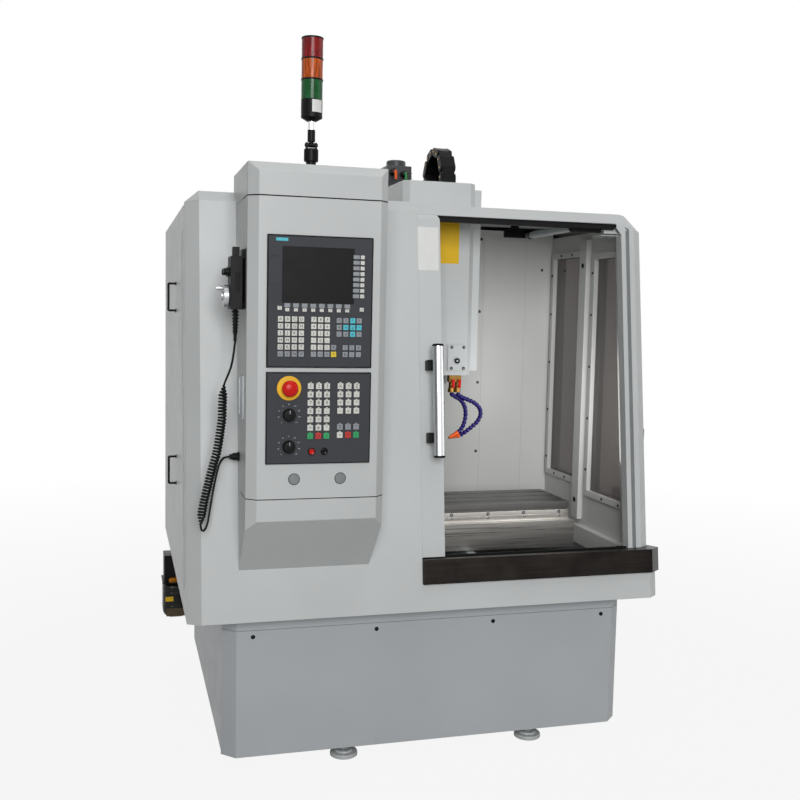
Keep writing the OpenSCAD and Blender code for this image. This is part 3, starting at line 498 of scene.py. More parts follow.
# Translucent tank wall with oil behind it: a deep amber brown.
TANK = MouldedPlastic("oil_tank_plastic", "4A3B22", 0.25, 2.0, 0.01)
# Smoked polycarbonate: a see-through grey-brown with clear reflections.
WINDOW = ClearPane("smoked_window_sheet", "6C6664", 0.05)
# Enamel on cast pads: pale and rather matt.
PAINT_FOOT = PowderCoat("pale_cast_foot_enamel", "B5B8B9", 0.5)
# Frosted acrylic: a soft pale tube without sharp lights.
LAMP_COVER = MouldedPlastic("frosted_lamp_cover", "B9BEBF", 0.35, 1.2, 0.01)
# Enamel on cast aluminium: dark grey with a fine peel.
MOTOR = PowderCoat("motor_grey_enamel", "3B3D3F", 0.42, 2.0)
# Moulded polypropylene: a warm, half glossy amber.
CAP_AMBER = MouldedPlastic("amber_filler_cap", "F29A12", 0.3, 1.0, 0.02)
# Blow-moulded polyethylene: nearly black, with broad smooth lights on its corners.
BOTTLE = MouldedPlastic("dark_bottle_plastic", "12110F", 0.22, 2.0, 0.01, 0.2)
# Coloured acrylic, unlit: deep red,
LENS_RED = LensPlastic("red_lens", "8A060B", 0.2)
# amber
LENS_AMBER = LensPlastic("amber_lens", "C25406", 0.2)
# and green, with lighter ribs behind a glossy face: painted highlight bands.
LENS_GREEN = LensPlastic("green_lens", "045C28", 0.2)
# A flat mid grey line beside the glass: painted shade on the floor of the post's groove.
GROOVE_SHADE_GREY = MouldedPlastic("grey_groove_painted_shade", "7B7E80", 0.6, 0.8, 0.01, 0.15)
# Moulded nylon plugs: plain grey discs, duller than the paint round them.
HOLE_PLUG = MouldedPlastic("grey_hole_plug", "7E8284", 0.5, 0.9, 0.02)


# Shapes


def cube_into(bm: BMesh, low: Sequence[float], high: Sequence[float],
              turn: Matrix | None = None) -> list[BMVert]:
    """Adds a block between two corners.

    Args:
        bm: The mesh that takes it.
        low: The lowest corner in metres.
        high: The highest corner in metres.
        turn: A transform that follows.

    Returns:
        The block's corners.
    """
    low_v, high_v = Vector(low), Vector(high)
    size = high_v - low_v
    place = Matrix.Translation((low_v + high_v) / 2) @ Matrix.Diagonal((size.x, size.y, size.z, 1.0))
    made = bmesh.ops.create_cube(bm, size=1.0, matrix=(turn or Matrix.Identity(4)) @ place)
    return made["verts"]


def rod_into(bm: BMesh, start: Vector, end: Vector, radius: float,
             sides: int) -> list[BMVert]:
    """Adds a round rod between two points.

    Args:
        bm: The mesh that takes it.
        start: Its first end in metres.
        end: Its other end.
        radius: Its radius in metres.
        sides: How many sides stand for the circle.

    Returns:
        The rod's corners.
    """
    run = end - start
    turn = Vector((0, 0, 1)).rotation_difference(run).to_matrix().to_4x4()
    place = Matrix.Translation((start + end) / 2) @ turn
    made = bmesh.ops.create_cone(bm, cap_ends=True, segments=sides, radius1=radius, radius2=radius,
                                 depth=run.length, matrix=place)
    return made["verts"]


def slope_block_into(bm: BMesh, low: Point, high: Point) -> None:
    """Adds a block that stands square on the leaning front.

    Args:
        bm: The mesh that takes it.
        low: Its lowest corner on the front's axes, in millimetres: right, behind and up the slope.
        high: Its highest corner.
    """
    cube_into(bm, Vector(low) * MM, Vector(high) * MM, slope_frame())


def ridges_into(bm: BMesh, place: Matrix, count: int, low: Point, high: Point) -> None:
    """Adds a ring of small equal blocks about the axis of a round piece.

    Args:
        bm: The mesh that takes them.
        place: Where the round piece stands.
        count: How many blocks there are.
        low: The first one's lowest corner, in millimetres from that place.
        high: Its highest corner.
    """
    for k in range(count):
        around = place @ Matrix.Rotation(math.tau * k / count, 4, "Z")
        cube_into(bm, Vector(low) * MM, Vector(high) * MM, around)


def spin_into(bm: BMesh, outline: Sequence[Pair], place: Matrix, steps: int = 32) -> None:
    """Turns an outline about the Z axis into a round closed piece.

    Args:
        bm: The mesh that takes it.
        outline: Radius and height pairs in millimetres, from the axis round to the axis.
        place: Where the piece goes.
        steps: How many steps the turn has.
    """
    verts = [bm.verts.new((r * MM, 0.0, z * MM)) for r, z in outline]
    edges = [bm.edges.new((a, b)) for a, b in zip(verts, verts[1:])]
    made = bmesh.ops.spin(bm, geom=verts + edges, cent=(0, 0, 0), axis=(0, 0, 1),
                          angle=math.tau, steps=steps, use_merge=True, use_duplicate=False)
    ring = {v for v in made["geom_last"] if isinstance(v, BMVert)}
    touched = set(verts) | ring
    pending = list(touched)
    while pending:
        for edge in pending.pop().link_edges:
            for v in edge.verts:
                if v not in touched:
                    touched.add(v)
                    pending.append(v)
    group = list(touched)
    bmesh.ops.remove_doubles(bm, verts=group, dist=NEW_MERGE)
    group = [v for v in group if v.is_valid]
    faces = list({f for v in group for f in v.link_faces})
    bmesh.ops.recalc_face_normals(bm, faces=faces)
    bmesh.ops.transform(bm, matrix=place, verts=group)


def sharp_edges(bm: BMesh) -> list[BMEdge]:
    """Finds the edges that turn by more than the angle that counts as sharp."""
    return [e for e in bm.edges if len(e.link_faces) == 2 and e.calc_face_angle(0.0) > SHARP]


def edges_of(verts: Sequence[BMVert]) -> list[BMEdge]:
    """Gives the edges that meet at some corners, each once."""
    return list({e for v in verts for e in v.link_edges})


def round_edges(bm: BMesh, edges: Sequence[BMEdge], width: float,
                segments: int, clamp: bool = True) -> list[BMVert]:
    """Rounds some edges.

    Args:
        bm: The mesh.
        edges: The edges.
        width: How far each edge is cut back, in millimetres.
        segments: How many facets stand for the round.
        clamp: Whether short edges hold the width down.

    Returns:
        The corners of the new facets.
    """
    made = bmesh.ops.bevel(bm, geom=edges, offset=width * MM, offset_type="OFFSET", affect="EDGES",
                           segments=segments, profile=0.5, clamp_overlap=clamp, material=-1)
    return made["verts"]


def extruded(bm: BMesh, faces: Sequence[BMFace]) -> list[BMVert]:
    """Extrudes faces where they are and gives the new corners, which the caller moves."""
    made = bmesh.ops.extrude_face_region(bm, geom=faces)
    return [v for v in made["geom"] if isinstance(v, BMVert)]


def soften(bm: BMesh, width: float, segments: int = 2, clamp: bool = True) -> None:
    """Rounds the sharp edges.

    Args:
        bm: The mesh.
        width: How far each edge is cut back, in millimetres.
        segments: How many facets stand for the round.
        clamp: Whether short edges hold the width down.
    """
    round_edges(bm, sharp_edges(bm), width, segments, clamp)


def facing(place: Vector, direction: Sequence[float]) -> Matrix:
    """Gives the transform that puts an upright piece's foot at a place and its top along a direction."""
    turn = Vector((0, 0, 1)).rotation_difference(Vector(direction)).to_matrix().to_4x4()
    return Matrix.Translation(place) @ turn


def screw_into(bm: BMesh, place: Matrix, radius: float, height: float) -> None:
    """Adds a button-head screw with its socket.

    Args:
        bm: The mesh that takes it.
        place: Where its foot stands.
        radius: The head's radius in millimetres.
        height: The head's height.
    """
    outline = [(0, 0.45 * height), (0.38 * radius, 0.45 * height), (0.42 * radius, height),
               (0.66 * radius, 0.94 * height), (0.9 * radius, 0.62 * height), (radius, 0.2 * height),
               (radius, 0), (0, 0)]
    spin_into(bm, outline, place, 20)


def path_curve(name: str, places: Sequence[Vector], radius: float, facets: int,
               steps: int) -> Object:
    """Makes a closed round tube along a path, as a curve.

    Args:
        name: The curve's name.
        places: The path's control points in metres.
        radius: The tube's radius.
        facets: The curve's bevel resolution.
        steps: How many steps there are between two control points.

    Returns:
        The curve's object.
    """
    curve = bpy.data.curves.new(name, "CURVE")
    curve.dimensions = "3D"
    curve.bevel_depth = radius
    curve.bevel_resolution = facets
    curve.resolution_u = steps
    curve.use_fill_caps = True
    spline = curve.splines.new("NURBS")
    spline.points.add(len(places) - 1)
    for point, place in zip(spline.points, places):
        point.co = (*place, 1.0)
    spline.order_u = 3
    spline.use_endpoint_u = True
    tube = bpy.data.objects.new(name, curve)
    bpy.context.scene.collection.objects.link(tube)
    return tube


def bent_rod_into(bm: BMesh, corners: Sequence[Vector], radius: float, bend: float) -> None:
    """Adds a round rod that is bent at its corners.

    Args:
        bm: The mesh that takes it.
        corners: The rod's ends and corners in metres.
        radius: Its radius.
        bend: How far from a corner the bend starts.
    """
    path = [corners[0]]
    for before, corner, after in zip(corners, corners[1:], corners[2:]):
        path += [corner + bend * (before - corner).normalized(), corner,
                 corner + bend * (after - corner).normalized()]
    path.append(corners[-1])
    tube = path_curve("rod_path", path, radius, 3, 5)
    graph = bpy.context.evaluated_depsgraph_get()
    mesh = bpy.data.meshes.new_from_object(tube.evaluated_get(graph))
    bm.from_mesh(mesh)
    curve = tube.data
    bpy.data.objects.remove(tube)
    bpy.data.curves.remove(curve)
    bpy.data.meshes.remove(mesh)


def join_into(bm: BMesh, part: BMesh) -> None:
    """Adds a finished part to a mesh.

    Args:
        bm: The mesh that takes it.
        part: The part, in place; it is freed.
    """
    mesh = bpy.data.meshes.new("part")
    part.to_mesh(mesh)
    part.free()
    bm.from_mesh(mesh)
    bpy.data.meshes.remove(mesh)


def merged_copy(node: str) -> BMesh:
    """Copies a CAD node's mesh and merges the corners of its loose triangles.

    Args:
        node: The node's name.

    Returns:
        The copy.
    """
    bm = bmesh.new()
    bm.from_mesh(frame["nodes"][node].data)
    bmesh.ops.remove_doubles(bm, verts=bm.verts, dist=CAD_MERGE)
    return bm


def keep_piece(bm: BMesh, name: str, body: str, finish: Finish,
               replaced: Sequence[str] = (), smooth: float = 40.0) -> Object:
    """Turns a finished mesh into a piece that rides on a body.

    Args:
        bm: The mesh, in place; it is freed.
        name: The piece's name.
        body: The CAD body it moves with, or nothing, which leaves it unattached.
        finish: Its finish.
        replaced: The CAD nodes that it stands for.
        smooth: The turn in degrees below which its faces shade as one.

    Returns:
        The new object.
    """
    mesh = bpy.data.meshes.new(name)
    bm.to_mesh(mesh)
    bm.free()
    mesh.shade_smooth()
    mesh.set_sharp_from_angle(angle=math.radians(smooth))
    piece = bpy.data.objects.new(name, mesh)
    bpy.context.scene.collection.objects.link(piece)
    piece.data.materials.append(finish.material())
    weighted = piece.modifiers.new("even_shading", "WEIGHTED_NORMAL")
    weighted.keep_sharp = True
    if body:
        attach(piece, body)
    if replaced:
        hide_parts(*replaced)
    log.info("%s rides on %s", name, body or "two bodies")
    return piece


def block_piece(name: str, body: str, finish: Finish, blocks: Sequence[tuple[Point, Point]],
                width: float = 0.0, segments: int = 1) -> None:
    """Makes a piece of straight blocks.

    Args:
        name: The piece's name.
        body: The CAD body it moves with.
        finish: Its finish.
        blocks: Each block's lowest and highest corner in the part's millimetres.
        width: How far its edges are cut back, in millimetres; nothing leaves them sharp.
        segments: How many facets stand for the round.
    """
    bm = bmesh.new()
    for low, high in blocks:
        cube_into(bm, spot(*low), spot(*high))
    if width:
        soften(bm, width, segments)
    keep_piece(bm, name, body, finish)


def body_of_node(node: str) -> str:
    """Finds the name of the body that holds a CAD node."""
    groups = frame["record"]["behaviour"]["bodies"]
    return next(body for body, nodes in groups.items() if node in nodes)


def rounded(node: str, finish: Finish, width_mm: float, segments: int = 2) -> None:
    """Makes a copy of a CAD node with rounded edges that stands for it.

    Args:
        node: The node's name.
        finish: The finish it gets.
        width_mm: How far the edges are cut back, in millimetres.
        segments: How many facets stand for the round.
    """
    bm = merged_copy(node)
    soften(bm, width_mm, segments, clamp=False)
    keep_piece(bm, node + "_rounded", body_of_node(node), finish, [node])


def painted(node: str, finish: Finish) -> None:
    """Gives a CAD node its finish and leaves its shape.

    Args:
        node: The node's name.
        finish: The finish it gets.
    """
    piece = frame["nodes"][node]
    piece.data.materials.clear()
    piece.data.materials.append(finish.material())
    log.info("%s keeps its shape and gets %s", node, finish.name)


# Camera and studio


@dataclass
class PhotoCamera:
    """The camera that took the photograph, found from the machine's straight edges."""

    place: Point = (-1.0119, -3.6610, 1.4710)
    yaw: float = 15.82
    pitch: float = -4.94
    roll: float = 1.22
    lens_mm: float = 45.15

    def build(self) -> None:
        """Makes the camera and gives it to the scene."""
        yaw, pitch, roll = (math.radians(a) for a in (self.yaw, self.pitch, self.roll))
        ahead = Vector((math.sin(yaw) * math.cos(pitch), math.cos(yaw) * math.cos(pitch),
                        math.sin(pitch)))
        level = Vector((math.cos(yaw), -math.sin(yaw), 0.0))
        upright = level.cross(ahead)
        side = level * math.cos(roll) + upright * math.sin(roll)
        top = upright * math.cos(roll) - level * math.sin(roll)
        turn = Matrix((side, top, -ahead)).transposed().to_4x4()
        data = bpy.data.cameras.new("photo_camera")
        data.lens = self.lens_mm
        data.sensor_width = 36.0
        data.clip_end = 60.0
        camera = bpy.data.objects.new("photo_camera", data)
        camera.matrix_world = Matrix.Translation(self.place) @ turn
        bpy.context.scene.collection.objects.link(camera)
        bpy.context.scene.camera = camera


@dataclass
class Lamp:
    """A soft square lamp that shines on the machine's middle."""

    name: str
    place: Point
    size: float
    power: float
    aim: Point = (0.0, 0.0, 1.1)

    def build(self) -> None:
        """Makes the lamp."""
        data = bpy.data.lights.new(self.name, "AREA")
        data.shape = "SQUARE"
        data.size = self.size
        data.energy = self.power
        lamp = bpy.data.objects.new(self.name, data)
        turn = (Vector(self.aim) - Vector(self.place)).to_track_quat("-Z", "Y").to_matrix().to_4x4()
        lamp.matrix_world = Matrix.Translation(self.place) @ turn
        bpy.context.scene.collection.objects.link(lamp)


@dataclass
class Studio:
    """A pale floor that runs out into a white surround, and soft lamps from the front and right."""

    floor_size: float = 60.0
    floor_tone: str = "8E8E8D"
    surround: str = "FFFFFF"
    fill: float = 0.15
    near: float = 1.6
    far: float = 5.5
    near_share: float = 0.9
    lamps: tuple[Lamp, ...] = (
        Lamp("key_lamp", (-1.5, -8.6, 3.4), 4.0, 490.0),
        Lamp("side_lamp", (5.0, -1.5, 2.6), 3.0, 22.0),
        Lamp("top_lamp", (0.4, -1.6, 6.0), 2.6, 58.0),
        Lamp("rear_lamp", (1.0, 5.0, 3.2), 3.4, 100.0),
        Lamp("chamber_lamp", (0.62, -0.44, 1.15), 0.4, 2.0, (0.38, 0.27, 1.10)),
    )

    def build(self) -> None:
        """Makes the floor, the world and the lamps."""
        bm = bmesh.new()
        bmesh.ops.create_grid(bm, x_segments=1, y_segments=1, size=self.floor_size)
        mesh = bpy.data.meshes.new("floor")
        bm.to_mesh(mesh)
        bm.free()
        floor = bpy.data.objects.new("floor", mesh)
        floor.data.materials.append(self.floor_material())
        bpy.context.scene.collection.objects.link(floor)
        self.world()
        for lamp in self.lamps:
            lamp.build()

    def seen(self, tree: NodeTree) -> NodeSocket:
        """Gives one where the eye, a mirror or a pane looks, and none where light bounces.

        Args:
            tree: The material's or world's tree.

        Returns:
            The value.
        """
        path = add_node(tree, "ShaderNodeLightPath")
        seen = add_node(tree, "ShaderNodeMath", {"operation": "MAXIMUM"},
                        {0: path.outputs["Is Camera Ray"], 1: path.outputs["Is Transmission Ray"]})
        seen = add_node(tree, "ShaderNodeMath", {"operation": "MAXIMUM"},
                        {0: seen.outputs[0], 1: path.outputs["Is Glossy Ray"]})
        return seen.outputs[0]

    def floor_material(self) -> Material:
        """Makes a pale floor that keeps the machine's shadow and turns white further out.

        Returns:
            The floor's material.
        """
        made = bpy.data.materials.new("studio_floor")
        made.use_nodes = True
        tree = made.node_tree
        tree.nodes.clear()
        place = add_node(tree, "ShaderNodeTexCoord")
        reach = add_node(tree, "ShaderNodeVectorMath", {"operation": "LENGTH"},
                         {0: place.outputs["Object"]})
        white = add_node(tree, "ShaderNodeMapRange", {"From Min": self.near, "From Max": self.far,
                                                      "To Min": self.near_share, "To Max": 1.0},
                         {"Value": reach.outputs["Value"]})
        share = add_node(tree, "ShaderNodeMath", {"operation": "MULTIPLY"},
                         {0: white.outputs[0], 1: self.seen(tree)})
        matte = add_node(tree, "ShaderNodeBsdfDiffuse", {"Color": colour(self.floor_tone)})
        plain = add_node(tree, "ShaderNodeEmission", {"Color": colour(self.surround), "Strength": 1.0})
        mixed = add_node(tree, "ShaderNodeMixShader", None,
                         {0: share.outputs[0], 1: matte.outputs[0], 2: plain.outputs[0]})
        add_node(tree, "ShaderNodeOutputMaterial", None, {"Surface": mixed.outputs[0]})
        return made

    def world(self) -> None:
        """Makes the surround: white to the eye and in gloss, a plain fill on the machine."""
        world = bpy.data.worlds.new("studio_surround")
        bpy.context.scene.world = world
        world.use_nodes = True
        tree = world.node_tree
        tree.nodes.clear()
        white_tone = colour(self.surround)
        fill = add_node(tree, "ShaderNodeBackground", {"Color": white_tone, "Strength": self.fill})
        white = add_node(tree, "ShaderNodeBackground", {"Color": white_tone, "Strength": 1.0})
        mixed = add_node(tree, "ShaderNodeMixShader", None,
                         {0: self.seen(tree), 1: fill.outputs[0], 2: white.outputs[0]})
        add_node(tree, "ShaderNodeOutputWorld", None, {"Surface": mixed.outputs[0]})


# The pendant's cord

CORD_ROUTE = (
    (-676, -680, 1358, 3.4), (-680, -682, 1320, 3.4), (-688, -686, 1280, 3.4), (-702, -688, 1248, 3.6),
    (-708, -688, 1232, 13), (-712, -688, 1195, 14.5), (-713, -686, 1165, 14.5), (-713, -684, 1130, 14.5),
    (-716, -682, 1106, 14.5), (-719, -680, 1082, 14.5), (-723, -678, 1053, 14.5), (-728, -676, 1024, 14.5),
    (-735, -674, 1000, 14.5), (-741, -672, 976, 14.5), (-747, -670, 952, 14.5), (-752, -668, 928, 14.5),
    (-757, -666, 908, 14.5), (-761, -664, 889, 14.5), (-767, -662, 858, 14.5), (-771, -660, 828, 14.5),
    (-772, -657, 806, 13), (-770, -652, 792, 3.8), (-764, -646, 786, 3.6), (-756, -640, 790, 3.5),
    (-748, -634, 812, 3.5), (-742, -628, 850, 3.5), (-735, -622, 890, 3.5), (-725, -614, 940, 3.5),
    (-714, -607, 982, 3.5), (-704, -603, 998, 3.5), (-694, -600, 1003, 3.5), (-682, -600, 1004, 3.5),
)


@dataclass
class PendantCord:
    """The curly cord of the hand pendant: straight tails and a wound middle of many close turns."""

    thick_mm: float = 6.6
    first_coiled: int = 4
    last_coiled: int = 20
    coil_radius_mm: float = 10.6
    turns: int = 46
    per_turn: int = 14
    end_share: float = 14.0
    route: tuple[tuple[float, float, float, float], ...] = CORD_ROUTE

    def tail(self, start: int, end: int) -> list[Vector]:
        """Gives the places in metres from one route point to another, both included."""
        return [spot(*self.route[i][:3]) for i in range(start, end + 1)]

    def coil(self) -> list[Vector]:
        """Winds the middle of the cord about the route.

        Returns:
            The places in metres.
        """
        middle = self.tail(self.first_coiled, self.last_coiled)
        lengths = [0.0]
        for a, b in zip(middle, middle[1:]):
            lengths.append(lengths[-1] + (b - a).length)
        steps = self.turns * self.per_turn
        places = []
        for step in range(steps + 1):
            share = step / steps
            reach = share * lengths[-1]
            k = max(i for i, v in enumerate(lengths[:-1]) if v <= reach + 1e-9)
            part = (reach - lengths[k]) / (lengths[k + 1] - lengths[k])
            centre = middle[k].lerp(middle[k + 1], part)
            ahead = (middle[k + 1] - middle[k]).normalized()
            side = ahead.cross(Vector((0.0, 1.0, 0.0))).normalized()
            other = ahead.cross(side)
            swell = min(1.0, self.end_share * share, self.end_share * (1 - share))
            radius = self.coil_radius_mm * MM * swell
            turn = math.tau * step / self.per_turn
            places.append(centre + radius * (math.cos(turn) * side + math.sin(turn) * other))
        return places

    def build(self) -> None:
        places = (self.tail(0, self.first_coiled - 1) + self.coil()
                  + self.tail(self.last_coiled + 1, len(self.route) - 1))
        cord = path_curve("pendant_cord_jacket", places, self.thick_mm / 2 * MM, 2, 2)
        cord.data.materials.append(RUBBER.material())
        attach(cord, "frame")
        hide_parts("pendant_cord")


# The machine's sub-assemblies


@dataclass
class Cabin:
    """The stand and the sheet-metal enclosure, with its folds and cut edges rounded."""

    sheets: tuple[tuple[str, Finish, float], ...] = (
        ("base_frame", PAINT_BASE, 2.0), ("base_cover", PAINT_BASE, 1.0), ("front_panel", PAINT, 0.9),
        ("door_frame", PAINT, 0.9), ("left_side", PAINT, 1.2), ("right_side", PAINT_LINER, 1.2),
        ("roof", PAINT, 1.0), ("rear_side", PAINT, 0.8), ("cabinet_door", PAINT, 0.8),
        ("back_liner", PAINT_LINER, 0.5), ("sill_tray", SILL_STEEL, 0.9),
        ("floor_pans", PAINT_DARK, 0.8),
    )
    groove_mm: float = 12.0
    cover_screws: tuple[float, ...] = (-600.0, -197.0, 209.0, 610.0)
    window_screws: tuple[Pair, ...] = (
        (-128, 860), (-128, 1060), (-128, 1260), (-128, 1460), (-128, 1620), (244, 860), (244, 1060),
        (244, 1260), (244, 1460), (244, 1620), (-400, 768), (-270, 768), (60, 799), (160, 799),
        (60, 1699), (160, 1699),
    )
    liner_screws: tuple[Pair, ...] = ((437, 882), (437, 1171), (437, 1465), (437, 1762), (711, 1644))
    tall_feet: int = 4
    foot_places: tuple[Pair, ...] = ((-286, -500), (-286, 560), (374, -500), (374, 560), (-600, 60),
                                     (600, 60))

    def build(self) -> None:
        """Rounds the sheet metal and builds its trim strips, handles, screws and feet."""
        for node, finish, width in self.sheets:
            rounded(node, finish, width)
        painted("side_windows", WINDOW)
        self.corner_gussets()
        self.opening_trim()
        self.cabinet_hardware()
        self.screws()
        self.handles()
        self.feet()

    def corner_gussets(self) -> None:
        """Closes the corners between the rear wall and the side panels' leaning tops."""
        bm = bmesh.new()
        for outline in (((-802.5, 1777.2), (-778.3, 1777.2), (-778.3, 1801.0)),
                        ((757.3, 1777.2), (802.5, 1777.2), (765.3, 1814.4), (757.3, 1814.4))):
            face = bm.faces.new([bm.verts.new(spot(x, 806.2, z)) for x, z in outline])
            bmesh.ops.translate(bm, vec=Vector((0, 3.2 * MM, 0)), verts=extruded(bm, [face]))
        bmesh.ops.recalc_face_normals(bm, faces=bm.faces)
        soften(bm, 0.4, 1)
        keep_piece(bm, "rear_corner_gussets", "frame", PAINT)

    def opening_trim(self) -> None:
        """Lays a grey strip of painted shade on the floor of the post's groove, and a black strip under
        the header.
        """
        bm = bmesh.new()
        # Painted shade: a mid grey strip on the groove's floor, darker than the paint beside it.
        slope_block_into(bm, (727.4, 50.8 + self.groove_mm, 170), (741.6, 51.8 + self.groove_mm, 1290))
        soften(bm, 0.3, 1)
        keep_piece(bm, "post_groove_painted_shade", "frame", GROOVE_SHADE_GREY)
        bm = bmesh.new()
        # A black strip under the header, along its lower lip.
        slope_block_into(bm, (-57.5, 56.2, 1300), (710, 60.5, 1309.7))
        soften(bm, 0.8, 2)
        keep_piece(bm, "header_black_strip", "frame", BLACK_SOFT)

    def cabinet_hardware(self) -> None:
        """Builds the cabinet door's swing latch with its lock and the mat behind the lower vents."""
        block_piece("latch_body", "cabinet", BLACK,
                    [((339, 813.6, 1079), (363, 818.6, 1181))], 1.6, 3)
        bm = bmesh.new()
        lock = [(0, 0), (6.2, 0), (6.6, 0.4), (6.6, 0.8), (5.8, 1.2), (0, 1.2)]
        spin_into(bm, lock, facing(spot(351, 818.5, 1100), (0, 1, 0)), 28)
        keep_piece(bm, "latch_lock", "cabinet", ZINC)
        block_piece("vent_mat", "cabinet", BLACK_SOFT,
                    [((-158, 810.3, 692), (158, 810.8, 816))])

    def screws(self) -> None:
        """Builds the black screws of the cover and the windows, and the liner's steel ones."""
        bm = bmesh.new()
        for x in self.cover_screws:
            screw_into(bm, facing(spot(x, -563, 422), (0, -1, 0)), 7.0, 4.0)
        for y, z in self.window_screws:
            screw_into(bm, facing(spot(747, y, z), (-1, 0, 0)), 5.0, 3.0)
        for z in (730, 1650):
            screw_into(bm, facing(spot(737, -60, z), (-1, 0, 0)), 10.0, 3.0)
        keep_piece(bm, "cover_and_window_screws", "frame", BLACK, ["case_fittings"])
        bm = bmesh.new()
        for x, z in self.liner_screws:
            screw_into(bm, facing(spot(x, 272, z), (0, -1, 0)), 6.0, 3.0)
        keep_piece(bm, "liner_screws", "frame", SCREW_STEEL)

    def handles(self) -> None:
        """Bends the black bow handles of the side covers, with their feet."""
        bm = bmesh.new()
        for x, y, low, high, way in ((-811, -43, 1440, 1542, -1), (-811, -83, 835, 937, -1),
                                     (811, -399.7, 938, 1053, 1)):
            out = x + way * 26
            corners = [spot(x, y, low + 4), spot(out, y, low + 4), spot(out, y, high - 4),
                       spot(x, y, high - 4)]
            bent_rod_into(bm, corners, 4.0 * MM, 9.0 * MM)
            for z in (low + 4, high - 4):
                spin_into(bm, [(0, 0), (7.5, 0), (7.5, 1.2), (5, 3), (0, 3)],
                          facing(spot(x, y, z), (way, 0, 0)), 20)
        block_piece("right_handle_plate", "frame", BLACK,
                    [((808, -408.7, 932), (811, -390.7, 1059))], 0.8, 2)
        keep_piece(bm, "bow_handles", "frame", BLACK)

    def feet(self) -> None:
        """Builds the levelling feet with their pads, nuts and spindles."""
        pads = bmesh.new()
        spindles = bmesh.new()
        for i, (x, y) in enumerate(self.foot_places):
            tall = i < self.tall_feet
            top = 20.0 if tall else 14.0
            outline = [(0, 0), (44, 0), (46, 1.5), (46, 10), (44, 13.5)]
            outline += [(30, 15), (28, top)] if tall else [(43, top)]
            spin_into(pads, outline + [(0, top)], Matrix.Translation(Vector((x, y, 0)) * MM), 48)
            rod_into(spindles, Vector((x, y, top)) * MM, Vector((x, y, 50)) * MM, 11.5 * MM, 24)
            rod_into(spindles, Vector((x, y, top + 4)) * MM, Vector((x, y, top + 15)) * MM, 19 * MM, 6)
        soften(spindles, 0.5, 1)
        keep_piece(pads, "foot_pads", "frame", PAINT_FOOT, ["feet"])
        keep_piece(spindles, "foot_spindles", "frame", ZINC)


@dataclass
class SlidingDoor:
    """The open door with its window and bright pull tube."""

    pull_x: float = -5.0
    pull_v: float = -30.0
    pull_low: float = 505.0
    pull_high: float = 861.0
    pull_radius: float = 18.0
    bracket_w: tuple[float, ...] = (563.0, 801.0)

    def build(self) -> None:
        """Rounds the leaf and dresses the pull tube and the track."""
        rounded("door_leaf", PAINT, 0.9)
        painted("door_glass", WINDOW)
        rounded("door_track", BLACK_SOFT, 0.6)
        self.pull()
        self.field()

    def pull(self) -> None:
        """Builds the bright tube, its black caps and the brackets that hold it."""
        low = on_slope(self.pull_x, self.pull_v, self.pull_low)
        high = on_slope(self.pull_x, self.pull_v, self.pull_high)
        ahead = (high - low).normalized()
        bm = bmesh.new()
        rod_into(bm, low, high, self.pull_radius * MM, 48)
        keep_piece(bm, "door_pull_tube", "door", BRIGHT_TUBE, ["pull_tube"])
        bm = bmesh.new()
        cap = [(0, 0), (19, 0), (19, 3.5), (18, 6), (15, 7.6), (0, 8)]
        spin_into(bm, cap, facing(high, ahead), 48)
        spin_into(bm, cap, facing(low, -ahead), 48)
        keep_piece(bm, "pull_caps", "door", BLACK)
        bm = bmesh.new()
        for w in self.bracket_w:
            slope_block_into(bm, (-34, -14, w - 17), (-10, 21.9, w + 17))
        soften(bm, 2.0, 3)
        keep_piece(bm, "pull_brackets", "door", BLACK)

    def field(self) -> None:
        """Lays a plain white field on the leaf's free edge, with nothing on it."""
        bm = bmesh.new()
        slope_block_into(bm, (-56, 21.6, 1118), (19, 22.3, 1262))
        soften(bm, 0.2, 1)
        keep_piece(bm, "plain_white_door_field", "door", LABEL_WHITE)


